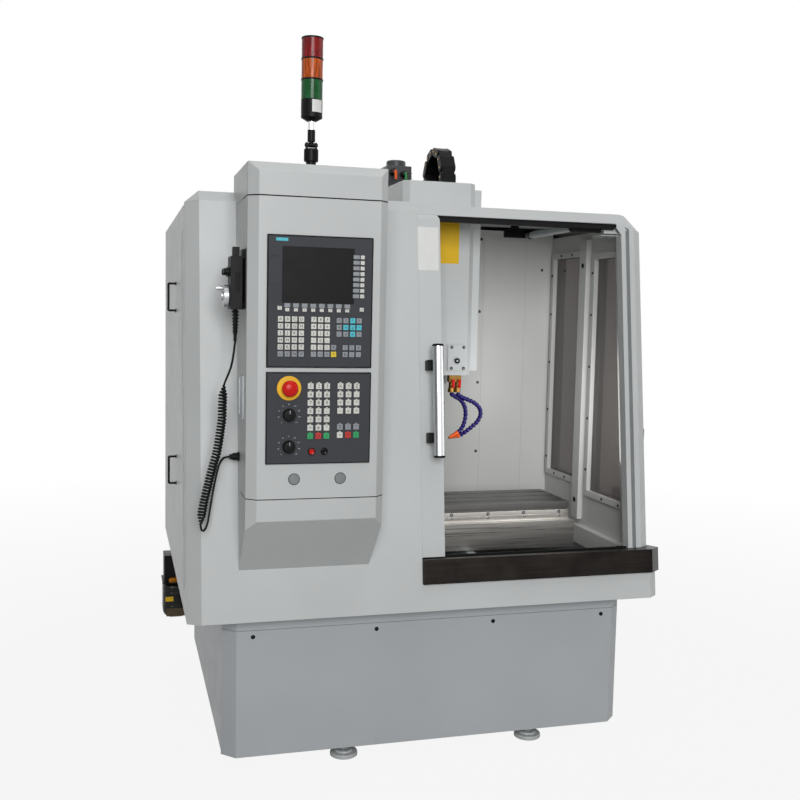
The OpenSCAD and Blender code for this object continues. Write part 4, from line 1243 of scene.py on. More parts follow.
@dataclass
class Chamber:
    """The lamp, bed, column, slides, table and guard inside."""

    lamp_x: float = 560.0
    lamp_z: float = 1768.0
    motor_x: float = SPINDLE_X
    slots: tuple[float, ...] = (-228.0, -153.0, -78.0)
    strip_screws: tuple[float, ...] = (-133.0, 7.0, 147.0, 287.0, 427.0, 567.0)
    chain_middle: Point = (228.0, 219.0, 1980.2)
    chain_radius: float = 112.0
    chain_step: float = 20.0
    plate_radius: float = 94.0
    plate_foot: float = -54.0
    chain_cables: tuple[float, ...] = (-18.5, -9.0, 0.0, 9.0)

    def build(self) -> None:
        """Rounds the castings, the table and the guard."""
        rounded("bed", ENAMEL, 3.0)
        rounded("column_unit", ENAMEL, 3.0)
        rounded("saddle_unit", ENAMEL, 2.0)
        rounded("table", GROUND, 0.8)
        rounded("way_guard", STAINLESS, 0.8)
        self.table_strips()
        self.lamp()
        self.motor()
        self.chain()

    def table_strips(self) -> None:
        """Lays the two bright strips along the table's front, with their rows of screws."""
        block_piece("table_front_strips", "table", BRIGHT_STRIP,
                    [((-192.6, -283.7, 709.5), (606.6, -282.9, 722.4)),
                     ((-192.6, -283.7, 723.6), (606.6, -282.9, 737.4))], 0.25)
        block_piece("slot_cover_strips", "table", BLACK_SOFT,
                    [((-191.5, y - 6.8, 757), (605.5, y + 6.8, 766.6)) for y in self.slots], 0.5)
        bm = bmesh.new()
        for x in self.strip_screws:
            screw_into(bm, facing(spot(x, -283.6, 731), (0, -1, 0)), 6.0, 2.8)
            screw_into(bm, facing(spot(x, -283.6, 716), (0, -1, 0)), 4.6, 2.2)
        keep_piece(bm, "table_strip_screws", "table", SCREW_STEEL)

    def lamp(self) -> None:
        """Builds the tube lamp, its two hangers and the bright knob of the front one."""
        bm = bmesh.new()
        outline = [(0, 0), (11.8, 0), (13, 1.2), (13, 424.8), (11.8, 426), (0, 426)]
        spin_into(bm, outline, facing(spot(self.lamp_x, -354, self.lamp_z), (0, 1, 0)), 40)
        keep_piece(bm, "lamp_tube", "frame", LAMP_COVER, ["lamp"])
        bm = bmesh.new()
        for low, high in (((538, -380, 1752), (650, -352, 1786)), ((558, -364, 1784), (608, -352, 1816)),
                          ((462, 70, 1758), (576, 92, 1792)), ((490, 72, 1790), (520, 90, 1816))):
            cube_into(bm, spot(*low), spot(*high))
        soften(bm, 3.0, 3)
        for y in (-346, -330, 40, 56):
            ring = [(13.1, -3), (15, -3), (15, 3), (13.1, 3), (13.1, -3)]
            spin_into(bm, ring, facing(spot(self.lamp_x, y, self.lamp_z), (0, 1, 0)), 40)
        keep_piece(bm, "lamp_holders", "frame", BLACK)
        bm = bmesh.new()
        knob = [(0, 0), (7, 0), (7.2, 2), (8.8, 3), (9, 11), (7.5, 13.6), (0, 14)]
        spin_into(bm, knob, facing(spot(648, -366, 1764), (1, 0, 0)), 32)
        keep_piece(bm, "lamp_knob", "frame", CHROME)

    def motor(self) -> None:
        """Builds the feed motor with its ribs, flange, encoder cap and the two plugs."""
        x = self.motor_x
        bm = bmesh.new()
        cube_into(bm, spot(x - 62, 332, 1880), spot(x + 62, 456, 1930))
        cube_into(bm, spot(x - 53, 341, 1930), spot(x + 53, 447, 2050))
        soften(bm, 4.0, 3)
        for k in range(9):
            z = 1938 + k * 10.4
            rib = cube_into(bm, spot(x - 55, 339, z - 2), spot(x + 55, 449, z + 2))
            round_edges(bm, edges_of(rib), 1.2, 1)
        cap = [(0, 0), (40, 0), (40, 18), (38, 23), (33, 25.5), (0, 26)]
        spin_into(bm, cap, Matrix.Translation(spot(x, 394, 2050)), 40)
        for dx in (-50, 50):
            for y in (344, 444):
                screw_into(bm, Matrix.Translation(spot(x + dx, y, 1929.9)), 5.0, 5.0)
        keep_piece(bm, "feed_motor", "frame", MOTOR, ["z_motor"])
        plugs = ((x - 30, 300.0, 2020, 14.0, ORANGE, "orange", "orange_plastic"),
                 (x + 14, 306.0, 2014, 12.0, WIRE_GREEN, "green", "lens_green"))
        shells = bmesh.new()
        for px, y, z, r, finish, name, slot in plugs:
            length = 340 - y
            place = facing(spot(px, y, z), (0, 1, 0))
            body = [(0, 0), (0.62 * r, 0), (0.8 * r, 1.5), (0.8 * r, 0.35 * length), (r, 0.42 * length),
                    (r, 0.72 * length), (0.86 * r, 0.78 * length), (0.86 * r, length), (0, length)]
            spin_into(shells, body, place, 32)
            ridges_into(shells, place, 16, (0.9 * r, -0.6, 0.44 * length), (r + 0.1, 0.6, 0.7 * length))
            boot = bmesh.new()
            bent_rod_into(boot, [spot(px, y + 2, z), spot(px, y - 16, z), spot(px, y - 22, z - 34)],
                          0.42 * r * MM, 12.0 * MM)
            keep_piece(boot, f"{name}_plug_boot", "frame", finish)
        keep_piece(shells, "motor_plugs", "frame", BLACK)

    def pin_places(self) -> list[Vector]:
        """Gives the places of the cable chain's pins, up round the arch and down again.

        Returns:
            The places in metres.
        """
        radius, step = self.chain_radius, math.radians(self.chain_step)
        rise = 2 * radius * math.sin(step / 2)
        pins = [(-radius, -rise)]
        pins += [(-radius * math.cos(step * k), radius * math.sin(step * k)) for k in range(10)]
        pins += [(radius, -rise), (radius, -2 * rise)]
        return [spot(*self.chain_middle) + Vector((0, a, b)) * MM for a, b in pins]

    def chain_lids(self, pins: Sequence[Vector]) -> BMesh:
        """Closes each link with an outer and an inner lid, every other link a little narrower.

        Args:
            pins: The pins' places.

        Returns:
            The mesh of the lids.
        """
        narrower, lower, gap = 5.3, 0.4, 2.6
        lids = bmesh.new()
        for k, (a, b) in enumerate(zip(pins, pins[1:])):
            ahead = (b - a).normalized()
            across = Vector((1, 0, 0))
            turn = Matrix((across, ahead, across.cross(ahead))).transposed().to_4x4()
            half = 24.6 - narrower * (k % 2)
            length = (b - a).length / MM
            out = gap if 0 < k < 10 else -0.6
            drop = lower * (k % 2)
            for low, high in (((-half, -out, 12.0 - drop), (half, length + out, 15.2 - drop)),
                              ((-half, gap, -15.2), (half, length - gap, -12.0))):
                cube_into(lids, Vector(low) * MM, Vector(high) * MM, Matrix.Translation(a) @ turn)
        soften(lids, 0.7, 1)
        return lids

    def arch_black_plate(self) -> BMesh:
        """Cuts a black plate with a round head that fills the inside of the chain's arch.

        Returns:
            Its mesh.
        """
        radius, foot = self.plate_radius, self.plate_foot
        turns = [math.radians(9 * k) for k in range(21)]
        edge = [(-radius, foot)] + [(-radius * math.cos(t), radius * math.sin(t)) for t in turns]
        middle = spot(*self.chain_middle)
        # A black plate that fills the inside of the chain's arch.
        plate = bmesh.new()
        face = plate.faces.new([plate.verts.new(middle + Vector((18, a, b)) * MM)
                                for a, b in edge + [(radius, foot)]])
        bmesh.ops.translate(plate, vec=Vector((2 * MM, 0, 0)), verts=extruded(plate, [face]))
        bmesh.ops.recalc_face_normals(plate, faces=plate.faces)
        soften(plate, 0.4, 1)
        return plate

    def chain(self) -> None:
        """Rounds the cable chain's links and adds their lids, pins, the black plate inside the arch and
        cables.
        """
        pins = self.pin_places()
        links = merged_copy("cable_chain")
        soften(links, 0.5, 2, clamp=False)
        heads = bmesh.new()
        head = [(0, 0), (4.2, 0), (4, 0.8), (2.8, 1.2), (0, 1.3)]
        for pin in pins[1:-1]:
            for side in (-1, 1):
                spin_into(heads, head, facing(pin + Vector((side * 31, 0, 0)) * MM, (side, 0, 0)), 20)
        cables = bmesh.new()
        for x in self.chain_cables:
            bent_rod_into(cables, [pin + Vector((x * MM, 0, 0)) for pin in pins], 4.2 * MM, 12.0 * MM)
        pieces = [keep_piece(links, "chain_links", "", BLACK_SOFT, ["cable_chain"]),
                  keep_piece(self.chain_lids(pins), "chain_lids", "", BLACK_SOFT),
                  keep_piece(heads, "chain_pin_heads", "", BRASS),
                  keep_piece(self.arch_black_plate(), "chain_arch_black_plate", "", BLACK_SOFT),
                  keep_piece(cables, "chain_cables", "", RUBBER)]
        for piece in pieces:
            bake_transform(piece)


@dataclass
class SpindleHead:
    """The head cover, the spindle and the coolant fittings."""

    x: float = SPINDLE_X
    y: float = -90.0
    hose_one: tuple[Point, ...] = (
        (164, -191, 1162), (185, -182, 1150), (208, -174, 1139), (226, -168, 1116), (234, -162, 1090),
        (233, -158, 1060), (226, -154, 1034), (211, -150, 1014),
    )
    hose_two: tuple[Point, ...] = (
        (188, -191, 1162), (213, -182, 1146), (240, -176, 1137), (268, -172, 1124), (288, -168, 1104),
        (292, -166, 1080), (282, -162, 1056), (262, -158, 1036), (240, -154, 1018), (222, -138, 1002),
    )

    def build(self) -> None:
        """Rounds the cover and builds the fittings."""
        rounded("head_shell", PAINT, 0.9)
        rounded("head_body", ENAMEL, 1.0)
        rounded("coolant_block", BRASS, 0.8)
        self.yellow_field()
        self.air_plate()
        self.nose()
        self.valve("valve_left", "valve_a", 164.0)
        self.valve("valve_right", "valve_b", 188.0)
        self.hoses()
        self.nozzles()

    def yellow_field(self) -> None:
        """Lays the plain yellow plate on the cover's front, with nothing on it."""
        block_piece("plain_yellow_field", "head", LABEL_YELLOW,
                    [((78, -221, 1632), (171, -219.8, 1784))], 0.3)

    def air_plate(self) -> None:
        """Covers the air plate with its painted face, the round port and four screws."""
        block_piece("air_plate_face", "head", PAINT,
                    [((138, -225.3, 1249), (207, -224.9, 1341))], 0.15)
        bm = bmesh.new()
        bezel = [(0, 0), (12.6, 0), (12.8, -0.3), (12.8, -2), (0, -2), (0, 0)]
        spin_into(bm, bezel, facing(spot(173, -225.3, 1284), (0, -1, 0)), 32)
        port = [(0, -1.2), (3.4, -1.2), (4, 0.8), (9, 0.8), (9.6, 0.2), (9.6, -4), (0, -4), (0, -1.2)]
        spin_into(bm, port, facing(spot(173, -229.1, 1284), (0, -1, 0)), 32)
        for x in (152, 198):
            for z in (1257, 1333):
                screw_into(bm, facing(spot(x, -226.0, z), (0, -1, 0)), 5.4, 3.4)
        keep_piece(bm, "air_plate_port_and_screws", "head", BLACK)

    def nose(self) -> None:
        """Turns the spindle nose with its grooves, taper and two drive keys."""
        bm = bmesh.new()
        outline = [(13, 1215), (22.3, 1149.8), (24, 1149), (41.5, 1149), (44, 1151.5), (44, 1159),
                   (42.8, 1160), (42.8, 1162), (44, 1163), (44, 1177), (42.5, 1179.3), (36, 1179.3),
                   (36, 1370), (10, 1370), (10, 1216), (13, 1215)]
        centre = Matrix.Translation(spot(self.x, self.y, 0))
        spin_into(bm, outline, centre, 56)
        for turn in (0, 180):
            around = centre @ Matrix.Rotation(math.radians(turn), 4, "Z")
            key = cube_into(bm, Vector((24.5, -7.8, 1142.5)) * MM, Vector((35.8, 7.8, 1150)) * MM,
                            around)
            round_edges(bm, edges_of(key), 0.6, 2)
        keep_piece(bm, "turned_spindle_nose", "spindle", CHROME, ["spindle_nose"])

    def valve(self, node: str, body: str, x: float) -> None:
        """Builds a valve's red lever with its hub and rounded tip.

        Args:
            node: The CAD node that it stands for.
            body: The body that it turns with.
            x: The valve's place.
        """
        bm = bmesh.new()
        hub = [(0, 0), (4, 0), (4, 14.6), (0, 14.6)]
        spin_into(bm, hub, facing(spot(x, -200.4, 1190), (0, -1, 0)), 24)
        lever = bmesh.new()
        cube_into(lever, spot(x - 5, -219, 1186), spot(x + 5, -215.2, 1216))
        soften(lever, 1.6, 3)
        join_into(bm, lever)
        dome = [(0, 0), (4.6, 0), (4.2, 1.2), (0, 1.8)]
        spin_into(bm, dome, facing(spot(x, -218.0, 1190), (0, -1, 0)), 24)
        keep_piece(bm, f"{node}_lever", body, STOP_RED, [node])

    def hoses(self) -> None:
        """Strings the ball-and-socket segments of the two coolant hoses along their routes."""
        bm = bmesh.new()
        segment = [(0, -8), (5.2, -8), (6, -7.2), (6.2, -5), (7.8, -3.6), (8.5, -1), (8.5, 2.2),
                   (7.6, 4.6), (6.2, 6), (0, 6.2)]
        for route, count in ((self.hose_one, 14), (self.hose_two, 18)):
            places = [spot(*p) for p in route]
            for i in range(count):
                reach = (i + 0.5) / count * (len(places) - 1)
                k = min(int(reach), len(places) - 2)
                run = places[k + 1] - places[k]
                spin_into(bm, segment, facing(places[k] + (reach - k) * run, run), 20)
        keep_piece(bm, "jointed_coolant_hoses", "head", HOSE_BLUE, ["coolant_hoses"])

    def nozzles(self) -> None:
        """Builds the two orange nozzles with their collars and bores."""
        bm = bmesh.new()
        for place, yaw, pitch, end, lift in (((211, -150, 1014), 14, -114, 40.0, 3.7),
                                             ((222, -138, 1002), 6, -100, 42.0, 4.2)):
            turn = (Matrix.Translation(spot(*place)) @ Matrix.Rotation(math.radians(yaw), 4, "Z")
                    @ Matrix.Rotation(math.radians(pitch), 4, "Y")
                    @ Matrix.Translation((0, 0, lift * MM)))
            outline = [(0, 0), (8.8, 0), (9, 1.2), (8.8, 7.5), (7.8, 8.5), (5, end - 1), (4.6, end),
                       (3, end), (2.8, end - 8), (0, end - 8)]
            spin_into(bm, outline, turn, 32)
        keep_piece(bm, "orange_nozzles", "head", ORANGE, ["coolant_nozzles"])


class Glyphs:
    """Plain letters, digits and signs for key caps and dials, made once each as flat meshes."""

    made: dict[str, bpy.types.Mesh] = {}

    @classmethod
    def mesh(cls, sign: str) -> bpy.types.Mesh:
        """Makes a sign as a flat mesh, one unit high and centred.

        Args:
            sign: The letter, digit or sign.

        Returns:
            Its mesh.
        """
        if sign not in cls.made:
            text = bpy.data.curves.new("glyph", "FONT")
            text.body = sign
            text.align_x = "CENTER"
            text.align_y = "CENTER"
            text.resolution_u = 2
            holder = bpy.data.objects.new("glyph", text)
            bpy.context.scene.collection.objects.link(holder)
            graph = bpy.context.evaluated_depsgraph_get()
            cls.made[sign] = bpy.data.meshes.new_from_object(holder.evaluated_get(graph))
            bpy.data.objects.remove(holder)
            bpy.data.curves.remove(text)
        return cls.made[sign]

    @classmethod
    def into(cls, bm: BMesh, sign: str, place: Vector, size_mm: float) -> None:
        """Adds a sign that stands upright and faces the operator.

        Args:
            bm: The mesh that takes it.
            sign: The letter, digit or sign.
            place: Its centre in metres.
            size_mm: Its height in millimetres.
        """
        before = set(bm.verts)
        bm.from_mesh(cls.mesh(sign))
        fresh = [v for v in bm.verts if v not in before]
        turn = TO_FRONT @ Matrix.Scale(size_mm * MM, 4)
        bmesh.ops.transform(bm, matrix=Matrix.Translation(place) @ turn, verts=fresh)


@dataclass(frozen=True)
class Key:
    """A key cap: its centre from the panel's upper left corner, its size, its finish and its sign."""

    x: float
    z: float
    w: float
    h: float
    finish: Finish
    sign: str = ""
    tab: bool = False


@dataclass
class ControlConsole:
    """The control box with its two operator panels, keys, knobs and emergency stop."""

    left: float = -598.0
    upper_top: float = 1668.0
    lower_top: float = 1274.0
    face_y: float = -786.0
    key_rise: float = 2.6
    width: float = 310.0
    dial_x: float = 67.0
    dials: Pair = (124.0, 217.0)
    stop: Pair = (66.0, 46.0)
    buttons: Pair = (134.5, 172.4)
    button_z: float = 232.0
    plugs: tuple[Point, ...] = ((-513, -780, 960), (-375, -780, 960))
    gland: Point = (-652, -600, 1004)
    letters: str = "ABCDEFGHIJKLMNOPQRSTUVWX"
    digits: str = "789456123-0.()/*=+"
    lower_signs: str = "1234567890+-<>^=#*"
    axis_signs: str = "XYZ4+-<>^~o="

    def build(self) -> None:
        """Builds the box, the panels and all that sits on them."""
        rounded("console", PAINT, 1.6, 3)
        self.seams()
        self.upper_panel()
        self.rim("lower_panel_rim", self.lower_top, 268, 2.5, 1.0, 0.4)
        self.keys("upper", self.upper_keys(), self.upper_top)
        self.keys("lower", self.lower_keys(), self.lower_top)
        self.screen()
        self.dial_marks()
        self.emergency_stop()
        self.knob("feed", 1150.0)
        self.knob("speed", 1057.0)
        self.push_buttons()
        self.fittings()

    def at(self, x: float, z: float, top: float, out: float = 0.0) -> Vector:
        """Gives a place on a panel.

        Args:
            x: From the panel's left edge, in millimetres.
            z: Down from its top edge.
            top: The height of that edge.
            out: How far in front of the panel's face.

        Returns:
            The place in metres.
        """
        return spot(self.left + x, self.face_y - out, top - z)

    def plate(self, bm: BMesh, x: Pair, z: Pair, top: float, out: Pair) -> None:
        """Adds a flat block on a panel.

        Args:
            bm: The mesh that takes it.
            x: Its left and right edge from the panel's left edge.
            z: Its upper and lower edge from the panel's top.
            top: The height of the panel's top.
            out: How far its back and its front stand in front of the panel's face.
        """
        cube_into(bm, self.at(x[0], z[1], top, out[1]), self.at(x[1], z[0], top, out[0]))

    def seams(self) -> None:
        """Lays the dark gaskets in the seams above and below the box."""
        left, right, front, fold = -652.0, -238.0, -780.0, 27.0
        outline = [(left, -640.0), (left, front + fold), (left + 30, front), (right - 26, front),
                   (right, front + fold), (right, -640.0)]
        bm = bmesh.new()
        for height, half in ((1777.5, 1.7), (901.0, 1.1)):
            for (x0, y0), (x1, y1) in zip(outline, outline[1:]):
                run = Vector((x1 - x0, y1 - y0, 0.0)).normalized()
                out = Vector((run.y, -run.x, 0.0)) * 0.4 * MM
                low = spot(x0, y0, height - half)
                rise = Vector((0, 0, 2 * half * MM))
                span = spot(x1, y1, height - half) - low
                base = [bm.verts.new(p + out) for p in (low, low + span, low + span + rise, low + rise)]
                bmesh.ops.translate(bm, vec=-out * 3, verts=extruded(bm, [bm.faces.new(base)]))
        bmesh.ops.recalc_face_normals(bm, faces=bm.faces)
        keep_piece(bm, "console_seam_gaskets", "frame", BLACK_SOFT)

    def upper_panel(self) -> None:
        """Builds the two panels' sheets, and the upper one's rim, card flap and grip grooves."""
        top = self.upper_top
        bm = merged_copy("panels")
        soften(bm, 1.0, 2, clamp=False)
        keep_piece(bm, "operator_panels", "frame", FOIL, ["panels"])
        self.rim("upper_panel_rim", top, 380, 3, 1.2, 0.5)
        bm = bmesh.new()
        self.plate(bm, (4, 42), (69, 138), top, (-1.0, 0.9))
        self.plate(bm, (4, 42), (141, 143), top, (-1.0, 0.4))
        for groove in range(5):
            x = 13 + groove * 6.5
            self.plate(bm, (x, x + 2.6), (146, 196), top, (-0.5, 0.6))
        soften(bm, 0.35, 1)
        keep_piece(bm, "card_flap", "frame", FOIL)
        bm = bmesh.new()
        self.plate(bm, (24, 59), (9, 18), top, (-0.5, 0.25))
        soften(bm, 0.15, 1)
        keep_piece(bm, "plain_teal_field", "frame", KEY_CYAN)

    def rim(self, name: str, top: float, height: float, wide: float, rise: float, edge: float) -> None:
        """Builds the thin raised rim of a panel.

        Args:
            name: The piece's name.
            top: The height of the panel's top edge.
            height: How high the panel is.
            wide: How wide the rim is.
            rise: How far it stands out.
            edge: How far its edges are cut back.
        """
        across = (0, self.width)
        down = (wide, height - wide)
        bm = bmesh.new()
        for x, z in ((across, (0, wide)), (across, (height - wide, height)), ((0, wide), down),
                     ((self.width - wide, self.width), down)):
            self.plate(bm, x, z, top, (-0.5, rise))
        bmesh.ops.remove_doubles(bm, verts=bm.verts, dist=NEW_MERGE)
        soften(bm, edge, 1)
        keep_piece(bm, name, "frame", BLACK)

    def upper_keys(self) -> list[Key]:
        """Lists the upper panel's keys.

        Returns:
            The keys.
        """
        keys = []
        for i in range(8):
            keys.append(Key(260, 57 + i * 16.2, 19, 11, KEY_GREY))
            keys.append(Key(278.3, 57 + i * 16.2, 12, 11, KEY_PALE, "<" if i == 7 else "-"))
            keys.append(Key(58 + i * 25.2, 201, 17, 12, KEY_GREY))
            keys.append(Key(58 + i * 25.2, 213.5, 12, 9.5, KEY_PALE, "^"))
        keys += [Key(36, 209, 13, 11, KEY_PALE, "^"), Key(278, 209, 13, 11, KEY_PALE, ">")]
        for r in range(6):
            finish = KEY_PALE if r < 5 else KEY_GREY
            z = 240.3 + r * 20.1
            for c in range(4):
                keys.append(Key(39 + c * 20.3, z, 15.5, 15.5, finish, self.letters[r * 4 + c]))
            for c in range(3):
                keys.append(Key(136 + c * 19.9, z, 15.5, 15.5, finish, self.digits[r * 3 + c]))
        keys += [Key(195.5, 320.7, 15, 15, KEY_GREY, "%"), Key(195.5, 340.8, 16, 16, KEY_YELLOW, "+")]
        for x, z, sign in ((211, 242, "1"), (231, 242, "2"), (270.8, 242, "3"), (211, 262, "4"),
                           (211, 281.5, "5"), (231, 281.5, "6"), (270.8, 281.5, "7")):
            keys.append(Key(x, z, 15, 15, KEY_GREY, sign))
        for x, z, sign in ((251.5, 242, "^"), (231, 262, "<"), (251.5, 262, "o"), (270.8, 262, ">"),
                           (251.5, 281.5, "v")):
            keys.append(Key(x, z, 15.5, 15.5, KEY_CYAN, sign))
        for r in range(2):
            for c in range(3):
                keys.append(Key(230 + c * 20, 321 + r * 20, 15, 15, KEY_GREY, "[]#&<>"[r * 3 + c]))
        return keys

    def lower_keys(self) -> list[Key]:
        """Lists the lower panel's keys.

        Returns:
            The keys.
        """
        keys = []
        for r in range(6):
            for c in range(3):
                sign = self.lower_signs[r * 3 + c]
                keys.append(Key(129.4 + c * 24.3, 40 + r * 24.4, 17, 17, KEY_PALE, sign, True))
        for c, finish in enumerate((KEY_GREEN, KEY_RED, KEY_GREEN)):
            keys.append(Key(129.4 + c * 24.3, 186.4, 17, 17, finish, "IOI"[c], True))
        for r, z in enumerate((40, 64.2, 88.4, 112.6)):
            for c in range(3):
                keys.append(Key(218 + c * 24.5, z, 17, 17, KEY_PALE, self.axis_signs[r * 3 + c], True))
        for c in range(3):
            keys.append(Key(218 + c * 24.5, 160, 17, 17, KEY_GREY, "%/*"[c], True))
        for c, finish in enumerate((KEY_PALE, KEY_RED, KEY_GREEN)):
            keys.append(Key(218 + c * 24.5, 184.4, 17, 17, finish, "=OI"[c], True))
        return keys

    def keys(self, name: str, keys: Sequence[Key], top: float) -> None:
        """Builds the key caps of a panel, one piece for each finish, and their signs.

        Args:
            name: The panel's name.
            keys: The keys.
            top: The height of the panel's top edge.
        """
        finishes = {k.finish.name: k.finish for k in keys}
        for finish in finishes.values():
            bm = bmesh.new()
            for k in (k for k in keys if k.finish == finish):
                self.plate(bm, (k.x - k.w / 2, k.x + k.w / 2), (k.z - k.h / 2, k.z + k.h / 2), top,
                           (-0.5, self.key_rise))
                if k.tab:
                    above = k.z - k.h / 2
                    self.plate(bm, (k.x - 3, k.x + 3), (above - 3.2, above - 0.4), top, (-0.5, 1.2))
            soften(bm, 0.9, 2)
            replaced = ["keys_plain"] if name == "upper" and finish == KEY_PALE else []
            keep_piece(bm, f"{name}_{finish.name}s", "frame", finish, replaced)
        bm = bmesh.new()
        for k in keys:
            if k.sign:
                place = self.at(k.x, k.z, top, self.key_rise + 0.06)
                Glyphs.into(bm, k.sign, place, min(k.w, k.h) * 0.78)
        keep_piece(bm, f"{name}_key_signs", "frame", MARK)

    def screen(self) -> None:
        """Builds the glossy black screen behind its thin frame."""
        top = self.upper_top
        painted("panel_screen", BLACK)
        bm = bmesh.new()
        self.plate(bm, (46.5, 250.5), (36.5, 190.5), top, (-1.4, -0.9))
        keep_piece(bm, "screen_sheet", "frame", SCREEN)

    def dial_marks(self) -> None:
        """Prints the marks and numbers round the two override knobs."""
        bm = bmesh.new()
        for z in self.dials:
            for i in range(17):
                angle = math.radians(225 - i * 270 / 16)
                sign, radius, size = (str(i * 10), 31.0, 5.2) if i % 2 == 0 else (".", 26.5, 9.0)
                place = self.at(self.dial_x + radius * math.cos(angle), z - radius * math.sin(angle),
                                self.lower_top, 0.06)
                Glyphs.into(bm, sign, place, size)
        keep_piece(bm, "dial_numbers", "frame", MARK_PALE)

    def emergency_stop(self) -> None:
        """Builds the stop's yellow ring plate and its red mushroom head with the undercut."""
        place = Matrix.Translation(self.at(*self.stop, self.lower_top)) @ TO_FRONT
        bm = bmesh.new()
        ring = [(12, 0), (35.5, 0), (35.5, 2.2), (34.5, 3.2), (15, 4), (12, 4), (12, 0)]
        spin_into(bm, ring, place, 48)
        keep_piece(bm, "stop_ring_plate", "frame", STOP_YELLOW, ["keys_bright"])
        bm = bmesh.new()
        head = [(0, 0), (10.5, 0), (10.5, 12), (15, 15), (22.5, 17.5), (23.6, 19), (23.8, 22.5),
                (23, 25), (20, 28.5), (15, 31.2), (8, 32.7), (0, 33.2)]
        spin_into(bm, head, place, 48)
        keep_piece(bm, "stop_mushroom", "stop", STOP_RED, ["stop_button"])

    def knob(self, body: str, height: float) -> None:
        """Builds an override knob with its skirt, ribs and pointer.

        Args:
            body: The body it turns with.
            height: The height of its axis in the part's source.
        """
        centre = spot(self.left + self.dial_x, self.face_y, height)
        turn = Matrix.Translation(centre) @ TO_FRONT
        bm = bmesh.new()
        outline = [(0, 2.6), (19, 2.6), (19, 4.5), (18, 7), (16.5, 7.8), (16, 18), (15, 18.8),
                   (0, 18.8)]
        spin_into(bm, outline, turn, 48)
        ridges_into(bm, turn, 24, (15, -0.8, 8.5), (16.8, 0.8, 17.8))
        keep_piece(bm, f"{body}_knob_ribbed", body, BLACK, [f"{body}_knob"])
        bm = bmesh.new()
        ridges_into(bm, turn, 1, (-0.8, 5, 18.7), (0.8, 14.5, 19))
        keep_piece(bm, f"{body}_knob_pointer", body, MARK_PALE)

    def push_buttons(self) -> None:
        """Builds the two round buttons and their bezels."""
        places = [Matrix.Translation(self.at(x, self.button_z, self.lower_top)) @ TO_FRONT
                  for x in self.buttons]
        bezels = bmesh.new()
        ring = [(8.2, 0), (10.8, 0), (10.8, 3), (10, 4.2), (8.6, 4.4), (8.2, 4), (8.2, 0)]
        for place in places:
            spin_into(bezels, ring, place, 32)
        keep_piece(bezels, "button_bezels", "frame", SCREEN)
        cap = [(0, 0), (7.9, 0), (7.9, 4.5), (7.2, 5.3), (5, 4.7), (0, 4)]
        for place, body, finish, slot in zip(places, ("start", "reset"), (STOP_RED, SCREEN),
                                             ("red_plastic", "black_plastic")):
            bm = bmesh.new()
            spin_into(bm, cap, place, 32)
            keep_piece(bm, f"{body}_button_cap", body, finish, [f"{body}_button"])

    def fittings(self) -> None:
        """Builds the plugs, the side socket, the gland and the pendant's hanger."""
        bm = bmesh.new()
        plug = [(0, 0), (16, 0), (16, 1.4), (15, 2.6), (12, 3), (0, 3)]
        for place in self.plugs:
            spin_into(bm, plug, facing(spot(*place), (0, -1, 0)), 40)
        keep_piece(bm, "console_plugs", "frame", HOLE_PLUG, ["console_fittings"])
        bm = bmesh.new()
        rim = [(16, 0), (17.4, 0), (17.4, 0.5), (16.8, 0.9), (16, 0.9), (16, 0)]
        for place in self.plugs:
            spin_into(bm, rim, facing(spot(*place), (0, -1, 0)), 40)
        keep_piece(bm, "console_plug_rims", "frame", BLACK)
        block_piece("side_socket_frame", "frame", ZINC,
                    [((-656, -704, 1131), (-652, -604, 1139)), ((-656, -704, 1249), (-652, -604, 1257)),
                     ((-656, -704, 1139), (-652, -696, 1249)), ((-656, -612, 1139), (-652, -604, 1249)),
                     ((-653.4, -697, 1138), (-652, -611, 1250))], 0.5)
        bm = bmesh.new()
        cube_into(bm, spot(-655, -735, 1454), spot(-652, -625, 1627))
        cube_into(bm, spot(-660, -712, 1608), spot(-655, -648, 1627))
        soften(bm, 1.0, 2)
        left, back, height = self.gland
        nut = rod_into(bm, spot(left, back, height), spot(left - 6, back, height), 15 * MM, 6)
        round_edges(bm, edges_of(nut), 0.6, 1)
        gland = [(0, 5.5), (11, 5.5), (11, 18), (10, 20), (8, 21.5), (7.8, 29), (6.5, 30), (0, 30)]
        spin_into(bm, gland, facing(spot(*self.gland), (-1, 0, 0)), 32)
        keep_piece(bm, "hanger_and_gland", "frame", BLACK)


